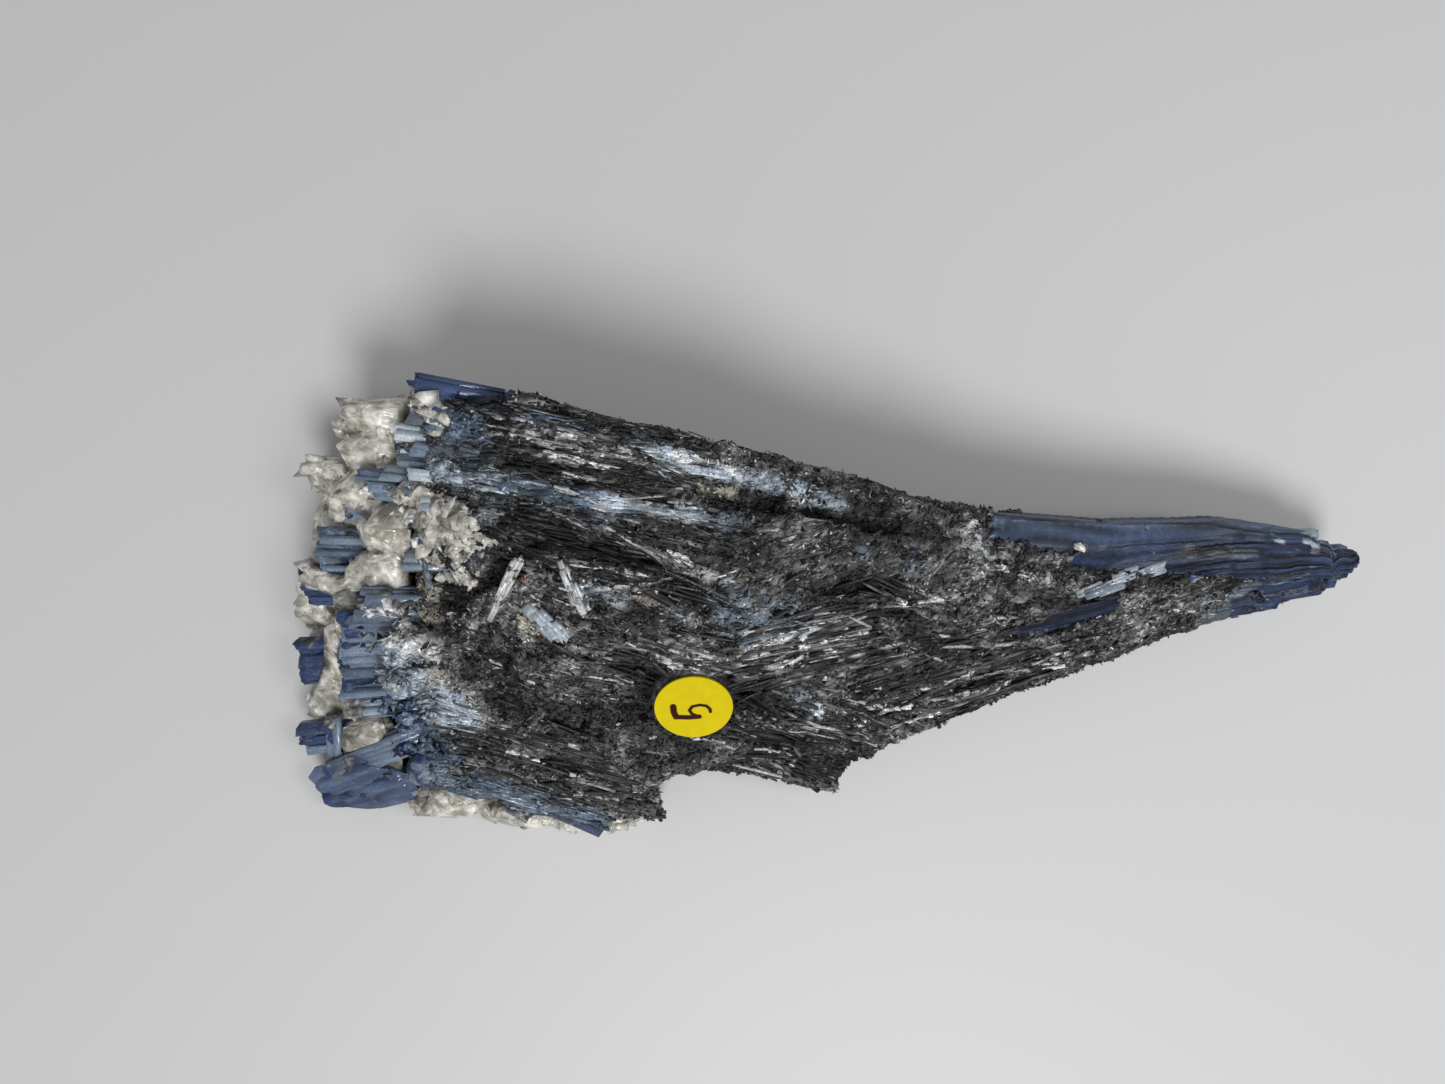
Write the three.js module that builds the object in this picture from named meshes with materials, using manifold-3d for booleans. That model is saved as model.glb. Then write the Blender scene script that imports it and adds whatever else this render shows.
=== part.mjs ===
// A kyanite specimen lying on its side. Flat kyanite blades fan out from a point into a spray, and a dark
// crust covers most of them. At the broad end grey quartz fills the space between the blades and around
// their broken ends. A round number sticker sits on the sloping front face.
//
// Millimetres, +Z up. +X runs along the spray to its point, -Y is the sloping front with the sticker, and the
// specimen rests on a flat cleavage face at z = 0.

import * as THREE from "three";
import { ConvexGeometry } from "three/addons/geometries/ConvexGeometry.js";
import { mergeVertices } from "three/addons/utils/BufferGeometryUtils.js";
import Module from "manifold-3d";

// Driving dimensions
const CREST = 40; // highest part of the crust over the table
const FOCUS = new THREE.Vector3(150, -8, 10); // the point that the spray's blades run towards
const STEP_DEPTH = 0.85; // how far a strand of the crust steps in or out
const MINERAL_GAP = 0.35; // clearance between the quartz and the blades that pass through it
const STICKER = { radius: 6.5, thick: 0.5, lift: 0.3 };
const STICKER_AT = new THREE.Vector3(-4.8, -27.1, 25.7);
const STICKER_FACE = new THREE.Vector3(0.037, -0.536, 0.843).normalize();
const SEAT = { radius: 6.9, headroom: 12, depth: 5 }; // flat place on the crust under the sticker

const wasm = await Module();
wasm.setup();

const at = (x, y, z) => new THREE.Vector3(x, y, z);
const cornersOf = (list) => list.map((p) => at(...p));
const middleOf = (points) => points.reduce((sum, p) => sum.add(p), at(0, 0, 0)).divideScalar(points.length);
const lerp = THREE.MathUtils.lerp;

// Repeatable random numbers from 0 to 1
function dice(seed) {
  let state = seed;
  return () => {
    state = (state + 0x6d2b79f5) | 0;
    let t = Math.imul(state ^ (state >>> 15), 1 | state);
    t = (t + Math.imul(t ^ (t >>> 7), 61 | t)) ^ t;
    return ((t ^ (t >>> 14)) >>> 0) / 4294967296;
  };
}

// A closed geometry as a solid that can be joined and cut
function solidOf(geometry) {
  geometry.deleteAttribute("normal");
  geometry.deleteAttribute("uv");
  const merged = mergeVertices(geometry, 1e-4);
  const triVerts = new Uint32Array(merged.index.array);
  return new wasm.Manifold(
    new wasm.Mesh({ numProp: 3, vertProperties: merged.attributes.position.array, triVerts }),
  );
}

// A solid's surface as a geometry
function geometryOf(solid) {
  const mesh = solid.getMesh();
  const geometry = new THREE.BufferGeometry();
  geometry.setAttribute("position", new THREE.BufferAttribute(new Float32Array(mesh.vertProperties), 3));
  geometry.setIndex(new THREE.BufferAttribute(new Uint32Array(mesh.triVerts), 1));
  return geometry.toNonIndexed();
}

const join = (solids) => solids.reduce((all, next) => all.add(next));

// The flat-faced solid around some corner points, which are first swollen to small cubes when grow is given
function hull(points, grow = 0) {
  const signs = grow ? [-grow, grow] : [0];
  const offsets = signs.flatMap((x) => signs.flatMap((y) => signs.map((z) => at(x, y, z))));
  return solidOf(new ConvexGeometry(points.flatMap((p) => offsets.map((offset) => p.clone().add(offset)))));
}

// Kyanite blades: flat crystals of six sides, wider than thick, with bevelled edges and slanting broken ends
const BLADE_SECTION = [[-1, -0.3], [-0.8, 1], [0.86, 0.84], [1, -0.12], [0.8, -1], [-0.72, -0.9]];
const SLEEVE_SECTION = [[-1, 1], [1, 1], [1, -1], [-1, -1]]; // the plain hole that a blade needs

function blade({ root, tip, width, thick, face, spread = 1, slant = 0.3, grow = 0 }) {
  const section = grow ? SLEEVE_SECTION : BLADE_SECTION;
  const along = tip.clone().sub(root).normalize();
  const across = new THREE.Vector3().crossVectors(face, along).normalize();
  const up = new THREE.Vector3().crossVectors(along, across);
  const corners = [];
  for (const [centre, share, end] of [[root, spread, -1], [tip, 1, 1]]) {
    for (const [u, v] of section) {
      corners.push(
        centre
          .clone()
          .addScaledVector(across, u * ((width * share) / 2 + grow))
          .addScaledVector(up, v * (thick / 2 + grow))
          .addScaledVector(along, end * grow + (end * u * slant * width) / 2),
      );
    }
  }
  return hull(corners);
}

// A fan of strands: blades grown side by side, lofted through rings of corners from the broad end to the
// point. Each face of a ring holds a few strands, and at every ring each strand breaks and steps in or out
function strandFan({ rings, strands, stagger, seed }) {
  const roll = dice(seed);
  const spread = () => roll() * 2 - 1;
  const columns = strands.flatMap((count, face) => {
    const cuts = Array.from({ length: count + 1 }, (_, i) => (i + (i % count ? 0.5 * spread() : 0)) / count);
    return cuts.slice(1).map((end, i) => ({
      face,
      from: cuts[i] + 0.05 / count,
      to: end - 0.05 / count,
      steps: rings.map(spread),
      breaks: rings.map((_, ring) => (ring ? stagger : stagger / 4) * spread()),
    }));
  });
  const centres = rings.map(middleOf);

  // Two rings at the same place make a step, with no stretch of strands between them
  const starts = rings.slice(1).map((_, i) => i).filter((i) => centres[i].distanceTo(centres[i + 1]) > 3);

  // A corner of one strand: where it meets the ring at one end of a stretch
  const corner = (column, side, stretch, end) => {
    const { face, from, to, steps, breaks } = column;
    const first = starts[stretch];
    const edge = (ring) => [rings[ring][face], rings[ring][(face + 1) % rings[ring].length]];
    const onRing = (ring) => edge(ring)[0].clone().lerp(edge(ring)[1], side ? to : from);
    const start = onRing(first);
    const finish = onRing(first + 1);
    const shift = (breaks[stretch + end] + (end ? -0.15 : 0.15)) / start.distanceTo(finish);
    const axis = centres[first + 1].clone().sub(centres[first]);
    const [p, q] = edge(first + end);
    const outward = q.clone().sub(p).cross(axis).normalize();
    const reach = STEP_DEPTH * THREE.MathUtils.clamp(p.distanceTo(q) / 22, 0.3, 1) * steps[stretch];
    return start.lerp(finish, end + shift).addScaledVector(outward, reach);
  };

  const sides = columns.length * 2;
  const rows = starts.length * 2 - 1;
  const geometry = new THREE.CylinderGeometry(1, 1, 1, sides, rows);
  const place = geometry.getAttribute("position");
  for (let i = 0; i < place.count; i++) {
    const [x, y, z] = [place.getX(i), place.getY(i), place.getZ(i)];
    const row = Math.round((0.5 + y) * rows);
    const turn = Math.round((Math.atan2(x, z) / (2 * Math.PI) + 1) * sides) % sides;
    const onAxis = Math.hypot(x, z) < 0.5;
    const spot = onAxis
      ? centres[row ? rings.length - 1 : 0]
      : corner(columns[turn >> 1], turn % 2, row >> 1, row % 2);
    place.setXYZ(i, spot.x, spot.y, spot.z);
  }
  return solidOf(geometry);
}

// The body: cross-sections with the crest, the brow of the front slope, its middle, its lip and the underside
const SECTIONS = [
  { x: -47, back: [24, CREST - 6], brow: [4, 31], lip: [-44, 10], foot: [-41, 18, 0], lean: -13 },
  { x: -34, back: [23.5, CREST], brow: [2, 37], lip: [-45, 12], foot: [-40, 20, 0], lean: -3 },
  { x: -12, back: [18, CREST], brow: [-3, 38], lip: [-41.5, 14.5], foot: [-36, 15, 0], lean: 0 },
  { x: 8, back: [12.8, 38], brow: [-6.6, 35.4], lip: [-39, 14.4], foot: [-34, 11, 0], lean: 0 },
  { x: 28, back: [7.5, 34.5], brow: [-9, 31], lip: [-36.4, 12], foot: [-30, 5, 0], lean: 0 },
  { x: 44, back: [4.8, 31], brow: [-9.5, 27.8], lip: [-30.2, 12], foot: [-24, 1.5, 0], lean: 0 },
  { x: 44, back: [4.6, 29.6], brow: [-9.5, 26.4], lip: [-30.2, 11.6], foot: [-24, 1.5, 0], lean: 0 },
  { x: 66, back: [3.2, 24], brow: [-7, 21.4], lip: [-22.9, 11], foot: [-17, 0, 2.5], lean: 0 },
  { x: 88, back: [3.6, 18.8], brow: [-4.5, 18], lip: [-14.8, 10.5], foot: [-9.5, 0.6, 6], lean: 0 },
  { x: 104, back: [1, 15.6], brow: [-3.5, 15.4], lip: [-9.8, 11], foot: [-6.5, -1.4, 8.5], lean: 0 },
];
const BODY_STRANDS = [7, 6, 6, 3, 1, 3, 4];

function bodyRing({ x, back, brow, lip, foot, lean }) {
  const [front, rear, bottom] = foot;
  return [
    at(x, back[0], back[1]),
    at(x, brow[0], brow[1]),
    at(x + lean * 0.4, (brow[0] + lip[0]) / 2 - 0.8, (brow[1] + lip[1]) / 2 + 0.8),
    at(x + lean * 0.7, lip[0], lip[1]),
    at(x + lean, front, bottom - 1),
    at(x + lean, rear, bottom - 1),
    at(x + lean * 0.5, back[0] + 1.2, lerp(bottom, back[1], 0.5)),
  ];
}

// Two thick bundles that lie across the front slope and end in broken faces, as rings of corners
const BUNDLES = [
  [
    [[-53, -13, 26.5], [-54, -28, 20.5], [-53, -42, 10], [-50, -44, 2], [-50, -20, 2]],
    [[-33, -17, 26.8], [-33, -32, 22], [-31, -49.5, 8.5], [-31, -48, 1], [-33, -20, 3]],
    [[-12.5, -27, 23.6], [-11.8, -40, 17], [-12.1, -50, 9], [-12.6, -48.5, 1.2], [-14, -28, 3]],
  ],
  [
    [[-14, -22, 27], [-13.5, -33, 21.5], [-12.5, -40.7, 13.5], [-10, -38, 3], [-14, -25, 3]],
    [[5, -19, 28], [6, -31, 21.5], [6, -42.5, 10], [8, -40, 2], [5, -22, 3]],
    [[27, -27, 19.2], [28, -36.6, 12.6], [20.6, -45.4, 7.5], [19, -42, 2], [26, -28, 3]],
  ],
];
const BUNDLE_STRANDS = [5, 5, 2, 1, 1];

function crustBody() {
  const body = strandFan({
    rings: SECTIONS.map(bodyRing),
    strands: BODY_STRANDS,
    stagger: 3.5,
    seed: 5,
  });
  const bundles = BUNDLES.map((bundle, i) =>
    strandFan({
      rings: bundle.map(cornersOf),
      strands: BUNDLE_STRANDS,
      stagger: 1.5,
      seed: 7 + i,
    }),
  );
  return join([body, ...bundles]);
}

// A blade that lies on the crust between two [x, y] places, seen from above, and stands a little proud of it
function laidBlade(ground, places, { thick, proud, tilt = at(0, 0, 0), ...shape }) {
  const ray = new THREE.Raycaster();
  const [start, end] = places.map(([x, y]) => {
    ray.set(at(x, y, 2 * CREST), at(0, 0, -1));
    return ray.intersectObject(ground)[0];
  });
  const out = start.face.normal.clone().add(end.face.normal).normalize();
  return blade({
    root: start.point.clone().addScaledVector(out, proud - thick / 2),
    tip: end.point.clone().addScaledVector(out, proud - thick / 2),
    thick,
    face: out.add(tilt).normalize(),
    ...shape,
  });
}

// Ridges: rows of blades laid along the crust. Each row fans from its left line to its right line, and every
// strand of it is broken into lengths
const RIDGES = [
  { left: [[-43, 22], [-40, 5]], right: [[43, 4], [43, -8]], count: 1, lengths: 4, width: 2.2, seed: 11 },
  { left: [[-24, -4], [-14, -15]], right: [[47, -9], [50, -19]], count: 2, lengths: 2, width: 2, seed: 12 },
  { left: [[-46, -18], [-48, -41]], right: [[-19, -26], [-14, -46]], count: 2, lengths: 1, width: 2, seed: 9 },
  { left: [[20, -24], [32, -32]], right: [[82, -9], [92, -12]], count: 2, lengths: 1, width: 1.8, seed: 15 },
];

function ridges(ground, { left, right, count, lengths, width, seed }) {
  const roll = dice(seed);
  const strands = Array.from({ length: count }, (_, i) => (i + 0.2 + 0.6 * roll()) / count);
  return strands.flatMap((across) => {
    const from = [0, 1].map((k) => lerp(left[0][k], left[1][k], across));
    const to = [0, 1].map((k) => lerp(right[0][k], right[1][k], across));
    const place = (along) => [0, 1].map((k) => lerp(from[k], to[k], along));
    return Array.from({ length: lengths }, (_, part) => {
      const ends = [place((part + 0.3 * roll()) / lengths), place((part + 1 - 0.3 * roll()) / lengths)];
      return laidBlade(ground, ends, {
        width: width * (0.5 + 0.4 * roll()),
        thick: 2.2,
        proud: 0.5 + 0.8 * roll(),
        tilt: at(roll() - 0.5, roll() - 0.5, roll() - 0.5).multiplyScalar(0.5),
        spread: 1.45,
        slant: 0.8 * (roll() - 0.5),
      });
    });
  });
}

// Blades of the point: [root x, y, z], [free end x, y, z], width at the root, width at the free end, thick
const POINT_BLADES = [
  [[62, -1, 19.4], [111.6, -4, 12.4], 10, 5, 4.2],
  [[62, 0.2, 21.4], [103, -0.6, 14.8], 6, 3.8, 3.2],
  [[66, -12, 14], [107.8, -7.3, 11.4], 6, 3.6, 3.8],
  [[64, -16, 12.6], [99.6, -10.4, 10.6], 5, 2.2, 3.4],
  [[70, -3, 20.6], [94, -1.6, 17.8], 4.4, 3, 2.2],
  [[76, 0.4, 18], [109, -2, 13.4], 4, 2.4, 2.8],
];

function pointBlades() {
  return POINT_BLADES.map(([root, tip, rootWidth, width, thick], i) =>
    blade({
      root: at(...root),
      tip: at(...tip),
      width,
      thick,
      face: at(0, 0.25 * (i % 3) - 0.3, 1).normalize(),
      spread: rootWidth / width,
      slant: 0.5,
    }),
  );
}

// Broken blade ends at the broad end: [free end x, y, z, length, width, thick]
const ROOT_BLADES = [
  [-48.6, 25, 34.4, 22, 3.4, 3.2], [-48, 22.2, 34, 20, 3, 3], [-46.6, 19.6, 33, 18, 2.6, 2.6],
  [-45.6, 17.2, 32.6, 18, 3.2, 3.2], [-45, 14.4, 32, 16, 3, 3], [-44.6, 11.8, 31.6, 14, 2.6, 3],
  [-53, 16.6, 28.4, 16, 4, 2.6], [-60.8, 11.4, 25.4, 24, 2, 1.8], [-55.6, 11.4, 28, 18, 2.6, 2],
  [-58.6, 8.6, 25, 20, 2.8, 2.2], [-52, 8.6, 29, 16, 3, 2.4], [-49, 6.2, 30, 14, 2.2, 2.2],
  [-64, 5, 21.4, 20, 2.4, 1.6], [-69.2, 0.7, 19.4, 22, 2.8, 4], [-69.6, -1.7, 18.8, 22, 2.4, 4],
  [-68.8, -4, 18, 20, 2.2, 3.6], [-74.6, -4.9, 15.4, 24, 2.2, 1.6], [-74.2, -8.6, 14.4, 24, 1.6, 1.5],
  [-73.4, -10.3, 14, 22, 1.5, 1.4], [-61, -10.2, 24.4, 22, 4.2, 4.4], [-64, -14, 21.6, 24, 4.4, 5],
  [-65.2, -18, 19.8, 26, 4.4, 5.2], [-65.8, -21.9, 17.8, 26, 4.2, 5.4], [-66, -25.6, 15.8, 26, 4.2, 5],
  [-65, -29.2, 13.8, 24, 3.8, 4.6], [-56, -17.6, 25.6, 18, 5, 4], [-57.4, -23.4, 23, 20, 6, 4.4],
  [-55.4, -29.6, 19.4, 18, 5.4, 4.4], [-53.5, -35, 14.6, 18, 4.6, 4.4], [-75.6, -18, 13, 26, 1.6, 1.4],
  [-75.2, -20.4, 12, 26, 2.2, 2.4], [-74.8, -22.6, 11.4, 26, 2, 2.6], [-75.3, -24.6, 11.4, 26, 1.6, 1.4],
  [-77.2, -34, 8.6, 24, 2.2, 1.8], [-76.8, -36.3, 7.6, 24, 1.5, 1.4], [-76, -38.2, 7, 24, 1.5, 1.4],
  [-51.2, 3.4, 28.4, 14, 1.9, 1.4], [-50.4, 0.5, 28, 14, 1.9, 1.9], [-52.6, -3.2, 27.2, 14, 3, 1.7],
];

function rootBlades(grow) {
  const roll = dice(7);
  return ROOT_BLADES.map(([x, y, z, length, width, thick]) => {
    const tip = at(x, y, z);
    const inward = FOCUS.clone().sub(tip).normalize();
    const face = at(0, roll() - 0.5, 1).normalize();
    return blade({
      root: tip.clone().addScaledVector(inward, length),
      tip,
      width,
      thick,
      face,
      spread: 0.95,
      slant: 0.7 * (roll() - 0.5),
      grow,
    });
  });
}

// Crystals that grew across the others at the broad end: [root x, y, z], [end x, y, z], width, thick
const CROSSING_BLADES = [
  [[-71, -41.5, 8], [-46, -31, 15.5], 4.6, 3.4],
  [[-69.4, -31, 12.4], [-70.4, -42, 7], 2.7, 2.2],
  [[-57, -41, 9], [-43, -45, 9], 2.8, 3.4],
  [[-43, -40.5, 12], [-35, -49.6, 6.4], 4, 2.6],
  [[-39, -43.5, 10], [-21.8, -52.2, 5.4], 4, 2.8],
];

// Crystals that lie askew on the crust: two [x, y] ends, width, and how far each stands up
const ASKEW_BLADES = [
  [[[-37.5, -12.1], [-32, -2.4]], 1.5, 1],
  [[[-25, -3.4], [-22.3, -10.8]], 1.7, 1.1],
  [[[-31.2, -9.8], [-25.6, -16]], 2.4, 1],
  [[[-50.2, -1.4], [-46.8, -9.7]], 1.4, 1],
  [[[65.6, -7.4], [74.2, -3.9]], 2.2, 0.9],
];

// The big dark crystal in the front corner of the broad end
const CORNER_CRYSTAL = [
  [-75.6, -43.2, 7], [-74.4, -46.2, 3.4], [-72.7, -48.9, 5], [-64.6, -49.4, 5], [-56, -46.8, 6.6],
  [-59.8, -41.6, 11], [-68.6, -39.4, 10.6], [-73.6, -41, 9], [-70, -47, 1], [-62, -46, 1],
];

function crossingBlades(ground, grow) {
  const buried = CROSSING_BLADES.map(([root, tip, width, thick]) =>
    blade({
      root: at(...root),
      tip: at(...tip),
      width,
      thick,
      face: at(0.1, -0.35, 1).normalize(),
      spread: 0.9,
      grow,
    }),
  );
  const askew = ASKEW_BLADES.map(([places, width, proud]) =>
    laidBlade(ground, places, { width, thick: 2.4, proud, grow }),
  );
  return [...buried, ...askew, hull(cornersOf(CORNER_CRYSTAL), grow)];
}

// The quartz: glassy broken lumps, [centre x, y, z, radius along x, y, z]
const QUARTZ_LUMPS = [
  [-57, 21, 20, 8, 4.6, 9.4], [-63, 19.4, 17, 4.6, 3.8, 7.6], [-58, 15, 17, 8, 6, 11],
  [-68.6, 11.6, 11, 6.6, 4.6, 8.6], [-61, 6.6, 16, 9, 8, 9.6], [-53, 1.6, 20, 9, 8, 9.4],
  [-43.8, 2.6, 30.4, 7, 6.6, 4.8], [-73, -12, 6.6, 5.4, 6, 8], [-67, -7, 9.6, 9, 7, 9.6],
  [-57, -4.6, 17.6, 9, 6.4, 9.6], [-70, -20, 6, 7.4, 7.6, 7.4], [-69.6, -29.6, 5.4, 7, 7, 7],
  [-64, -35.6, 6.4, 8, 6.6, 8], [-49.4, -46, 4, 10, 6.4, 6], [-36, -50, 3.2, 9, 3.8, 4.8],
  [-22.6, -50.8, 3, 9, 2.6, 4.4], [-66, 1, 7, 10, 12, 8.6], [-62, 12, 8, 10, 11, 10],
  [-64, -21, 10, 9, 12, 10], [-60, -40, 4, 10, 7, 5.6],
];

function quartzLump([x, y, z, rx, ry, rz], seed) {
  const roll = dice(100 + seed);
  const corners = [];
  const count = 12;
  for (let i = 0; i < count; i++) {
    const height = 1 - (2 * i + 1) / count;
    const turn = i * 2.399963 + roll() * 0.7;
    const reach = 0.86 + 0.3 * roll();
    const ring = Math.sqrt(1 - height * height) * reach;
    corners.push(at(x + rx * ring * Math.cos(turn), y + ry * ring * Math.sin(turn), z + rz * height * reach));
  }
  return hull(corners);
}

// Everything below the table's level is broken off flat
const belowTable = solidOf(new THREE.BoxGeometry(400, 400, 60).translate(0, 0, -30));

// A disc on the sticker's slope, from low to high along the slope's normal
function stickerDisc(radius, low, high, sides = 40) {
  const disc = new THREE.CylinderGeometry(radius, radius, high - low, sides);
  disc.translate(0, (low + high) / 2, 0);
  disc.applyQuaternion(new THREE.Quaternion().setFromUnitVectors(at(0, 1, 0), STICKER_FACE));
  return disc.translate(...STICKER_AT);
}

function kyaniteSpray(crust, ground) {
  const laid = RIDGES.flatMap((row) => ridges(ground, row));
  const grown = join([crust, ...laid, ...pointBlades(), ...rootBlades(0), ...crossingBlades(ground, 0)]);
  const pad = solidOf(stickerDisc(SEAT.radius, -SEAT.depth, 0, 20));
  const clearing = solidOf(stickerDisc(SEAT.radius, 0, SEAT.headroom, 20));
  return grown.add(pad).subtract(clearing).subtract(belowTable);
}

function quartzMatrix(ground) {
  const lumps = join(QUARTZ_LUMPS.map(quartzLump)).subtract(belowTable);
  const ends = [SECTIONS.slice(0, 3).map(bodyRing), BUNDLES[0].map(cornersOf)];
  const room = STEP_DEPTH + MINERAL_GAP;
  const crustRoom = ends.flatMap(([a, b, c]) => [hull([...a, ...b], room), hull([...b, ...c], room)]);
  const blades = [...rootBlades(MINERAL_GAP), ...crossingBlades(ground, MINERAL_GAP)];
  return lumps.subtract(join([...crustRoom, ...blades]));
}

const largest = (solid) => solid.decompose().sort((a, b) => b.volume() - a.volume())[0];

const dark = new THREE.MeshStandardMaterial({ color: 0x3d3e42, roughness: 0.5, metalness: 0.1 });
const quartz = new THREE.MeshStandardMaterial({ color: 0xbdb6a6, roughness: 0.25, metalness: 0 });
const paper = new THREE.MeshStandardMaterial({ color: 0xd8cc0a, roughness: 0.55, metalness: 0 });

function named(name, geometry, material) {
  const mesh = new THREE.Mesh(geometry, material);
  mesh.name = name;
  return mesh;
}

const crust = crustBody();
const ground = new THREE.Mesh(geometryOf(crust), new THREE.MeshBasicMaterial({ side: THREE.DoubleSide }));
const spray = largest(kyaniteSpray(crust, ground));
const matrix = largest(quartzMatrix(ground));
const specimen = new THREE.Group();
specimen.add(named("kyanite_spray", geometryOf(spray), dark));
specimen.add(named("quartz_matrix", geometryOf(matrix), quartz));
specimen.add(
  named("number_sticker", stickerDisc(STICKER.radius, STICKER.lift, STICKER.lift + STICKER.thick), paper),
);

// The origin is under the middle of the specimen, at the table's level
const box = new THREE.Box3().setFromObject(specimen);
const middle = box.getCenter(new THREE.Vector3());
specimen.position.set(-middle.x, -middle.y, -box.min.z);

export default specimen;
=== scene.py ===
import math

import bmesh
import bpy
import numpy as np
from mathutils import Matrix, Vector
from mathutils.bvhtree import BVHTree


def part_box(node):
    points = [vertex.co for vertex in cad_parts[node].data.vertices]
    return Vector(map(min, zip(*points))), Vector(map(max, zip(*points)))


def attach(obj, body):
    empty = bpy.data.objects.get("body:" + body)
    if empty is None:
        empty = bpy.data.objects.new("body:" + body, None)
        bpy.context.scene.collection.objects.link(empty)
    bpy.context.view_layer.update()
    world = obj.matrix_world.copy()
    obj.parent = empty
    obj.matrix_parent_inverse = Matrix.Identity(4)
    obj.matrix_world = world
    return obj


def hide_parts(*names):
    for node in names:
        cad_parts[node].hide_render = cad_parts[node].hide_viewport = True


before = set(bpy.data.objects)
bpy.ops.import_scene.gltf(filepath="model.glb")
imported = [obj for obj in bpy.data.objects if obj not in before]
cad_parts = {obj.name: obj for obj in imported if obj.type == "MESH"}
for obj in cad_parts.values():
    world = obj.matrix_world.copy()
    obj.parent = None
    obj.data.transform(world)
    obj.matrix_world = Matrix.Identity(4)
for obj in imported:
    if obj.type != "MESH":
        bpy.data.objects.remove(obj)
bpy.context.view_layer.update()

# The crust's body: the whole spray of grown-together kyanite blades with its dark graphite crust, as one
# closed skin. It is remade from the CAD solid, then raised and sunk in rows that run with the blades' grain.

# Places in this script are millimetres from the point of the table that the camera looks straight down at
sticker_low, sticker_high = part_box("number_sticker")
STICKER_MIDDLE = np.array([-4.78, -27.395, 26.164])
SHIFT = np.array((sticker_low + sticker_high) / 2) * 1000 - STICKER_MIDDLE


def unit(v):
    """Directions one long."""
    v = np.asarray(v)
    return v / np.maximum(np.linalg.norm(v, axis=-1, keepdims=True), 1e-9)


def chance(*whole):
    """A fixed random value from 0 to 1 for each set of whole numbers."""
    mixed = np.zeros(np.broadcast(*whole).shape, np.uint64)
    for k, number in enumerate(whole):
        step = np.uint64([73856093, 19349663, 83492791, 49979687][k])
        mixed ^= np.asarray(number).astype(np.int64).astype(np.uint64) * step
        mixed = (mixed ^ (mixed >> np.uint64(13))) * np.uint64(1274126177)
        mixed ^= mixed >> np.uint64(16)
    return (mixed & np.uint64(0xFFFF)) / 65535.0


def rough(p, size, seed):
    """Smooth random values from -1 to 1 at the points p, with lumps of one size or one for each axis."""
    q = p / size
    cell = np.floor(q).astype(np.int64)
    f = q - cell
    f = f * f * (3 - 2 * f)
    total = np.zeros(len(p))
    for corner in range(8):
        step = np.array([corner & 1, corner >> 1 & 1, corner >> 2 & 1])
        c = cell + step
        weight = np.prod(np.where(step, f, 1 - f), axis=1)
        total += weight * (2 * chance(c[:, 0], c[:, 1], c[:, 2], seed) - 1)
    return total


# The crust is made of patches of blades: the middle of each seen from above, the angle in degrees that its
# blades run at from left to right, and how ribbed it is, from 0 for grains to 1 for clear rows of blades
PATCHES = np.array([
    [-42, 23, -10, 0.3], [-25, 17, -11, 1], [-6, 13, -13, 0.9], [-34, 9, -9, 0.8], [-12, 5.5, -10, 0.9],
    [0, 9, -20, 0], [8, 8, -24, 0], [21, 8, -13, 0.3], [36, 4, -10, 0.3], [7, 0, 18, 0.4],
    [17, -2, 24, 0.5], [27, -3, 26, 0.5], [36, -4, 16, 0.3], [45, -3, -10, 0.1], [-29, 0, -12, 0.9],
    [-17, -2, -16, 0.9], [-7, -5, -22, 0.7], [-42, 2, 8, 0.1], [-40, -8, -20, 0.2], [-31, -12, -36, 0.1],
    [-21, -11, -22, 0.3], [-10, -12, -16, 0.4], [0, -12, 4, 0.2], [4, -8, 14, 0.2], [-20, -19, -20, 0.6],
    [-6, -19, -18, 0.7], [8, -19, 12, 1], [20, -15, 13, 1], [31, -10, -26, 0.6], [34, -14, -30, 0.5],
    [40, -9, 4, 0.2], [50, -7, 12, 0.1], [60, -8, 24, 0.2], [62, 0, -2, 0.7], [86, -1, -5, 0.7],
    [104, -4, -8, 0.7], [28, -22, 16, 0.7], [42, -22, 16, 0.8], [56, -18, 16, 0.6], [70, -14, 15, 0.4],
    [84, -10, 14, 0.5], [98, -9, 12, 0.6], [-42, -22, -22, 0.1], [-32, -26, -20, 0.3],
    [-20, -28, -18, 0.4], [-40, -34, -16, 0.6], [-26, -37, -22, 0.7], [-14, -35, -20, 0.2],
    [-24, -44, -20, 0.9], [0, -33, -24, 0.5], [9, -32, -28, 1], [18, -35, -28, 1], [17, -28, -20, 0.4],
    [26, -32, -24, 0.7], [-64, 10, -4, 0.4], [-70, -8, 2, 0.4], [-70, -26, -2, 0.4], [-64, -44, 0, 0.4],
    [-52, -32, -8, 0.2],
])


def drift(p, size, seed):
    """Smooth random shifts of the points p in the table's plane."""
    return np.stack([rough(p, size, seed), rough(p, size, seed + 1)], axis=1)


def patches(p):
    """For the points p, the patch that each is in."""
    spot = p[:, :2] + 2.2 * drift(p, 5, 5) + 0.7 * drift(p, 1.4, 7)
    return np.argmin(np.hypot(spot[:, None, 0] - PATCHES[:, 0], spot[:, None, 1] - PATCHES[:, 1]), axis=1)


def grain(p, patch):
    """The direction the blades run in at the points p."""
    turn = np.radians(PATCHES[patch, 2] + 5 * rough(p, 12, 3))
    drop = np.clip((p[:, 0] + 60) / 160, 0, 1) * -0.22 + 0.05
    return unit(np.stack([np.cos(turn), np.sin(turn), drop], axis=1))


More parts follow.
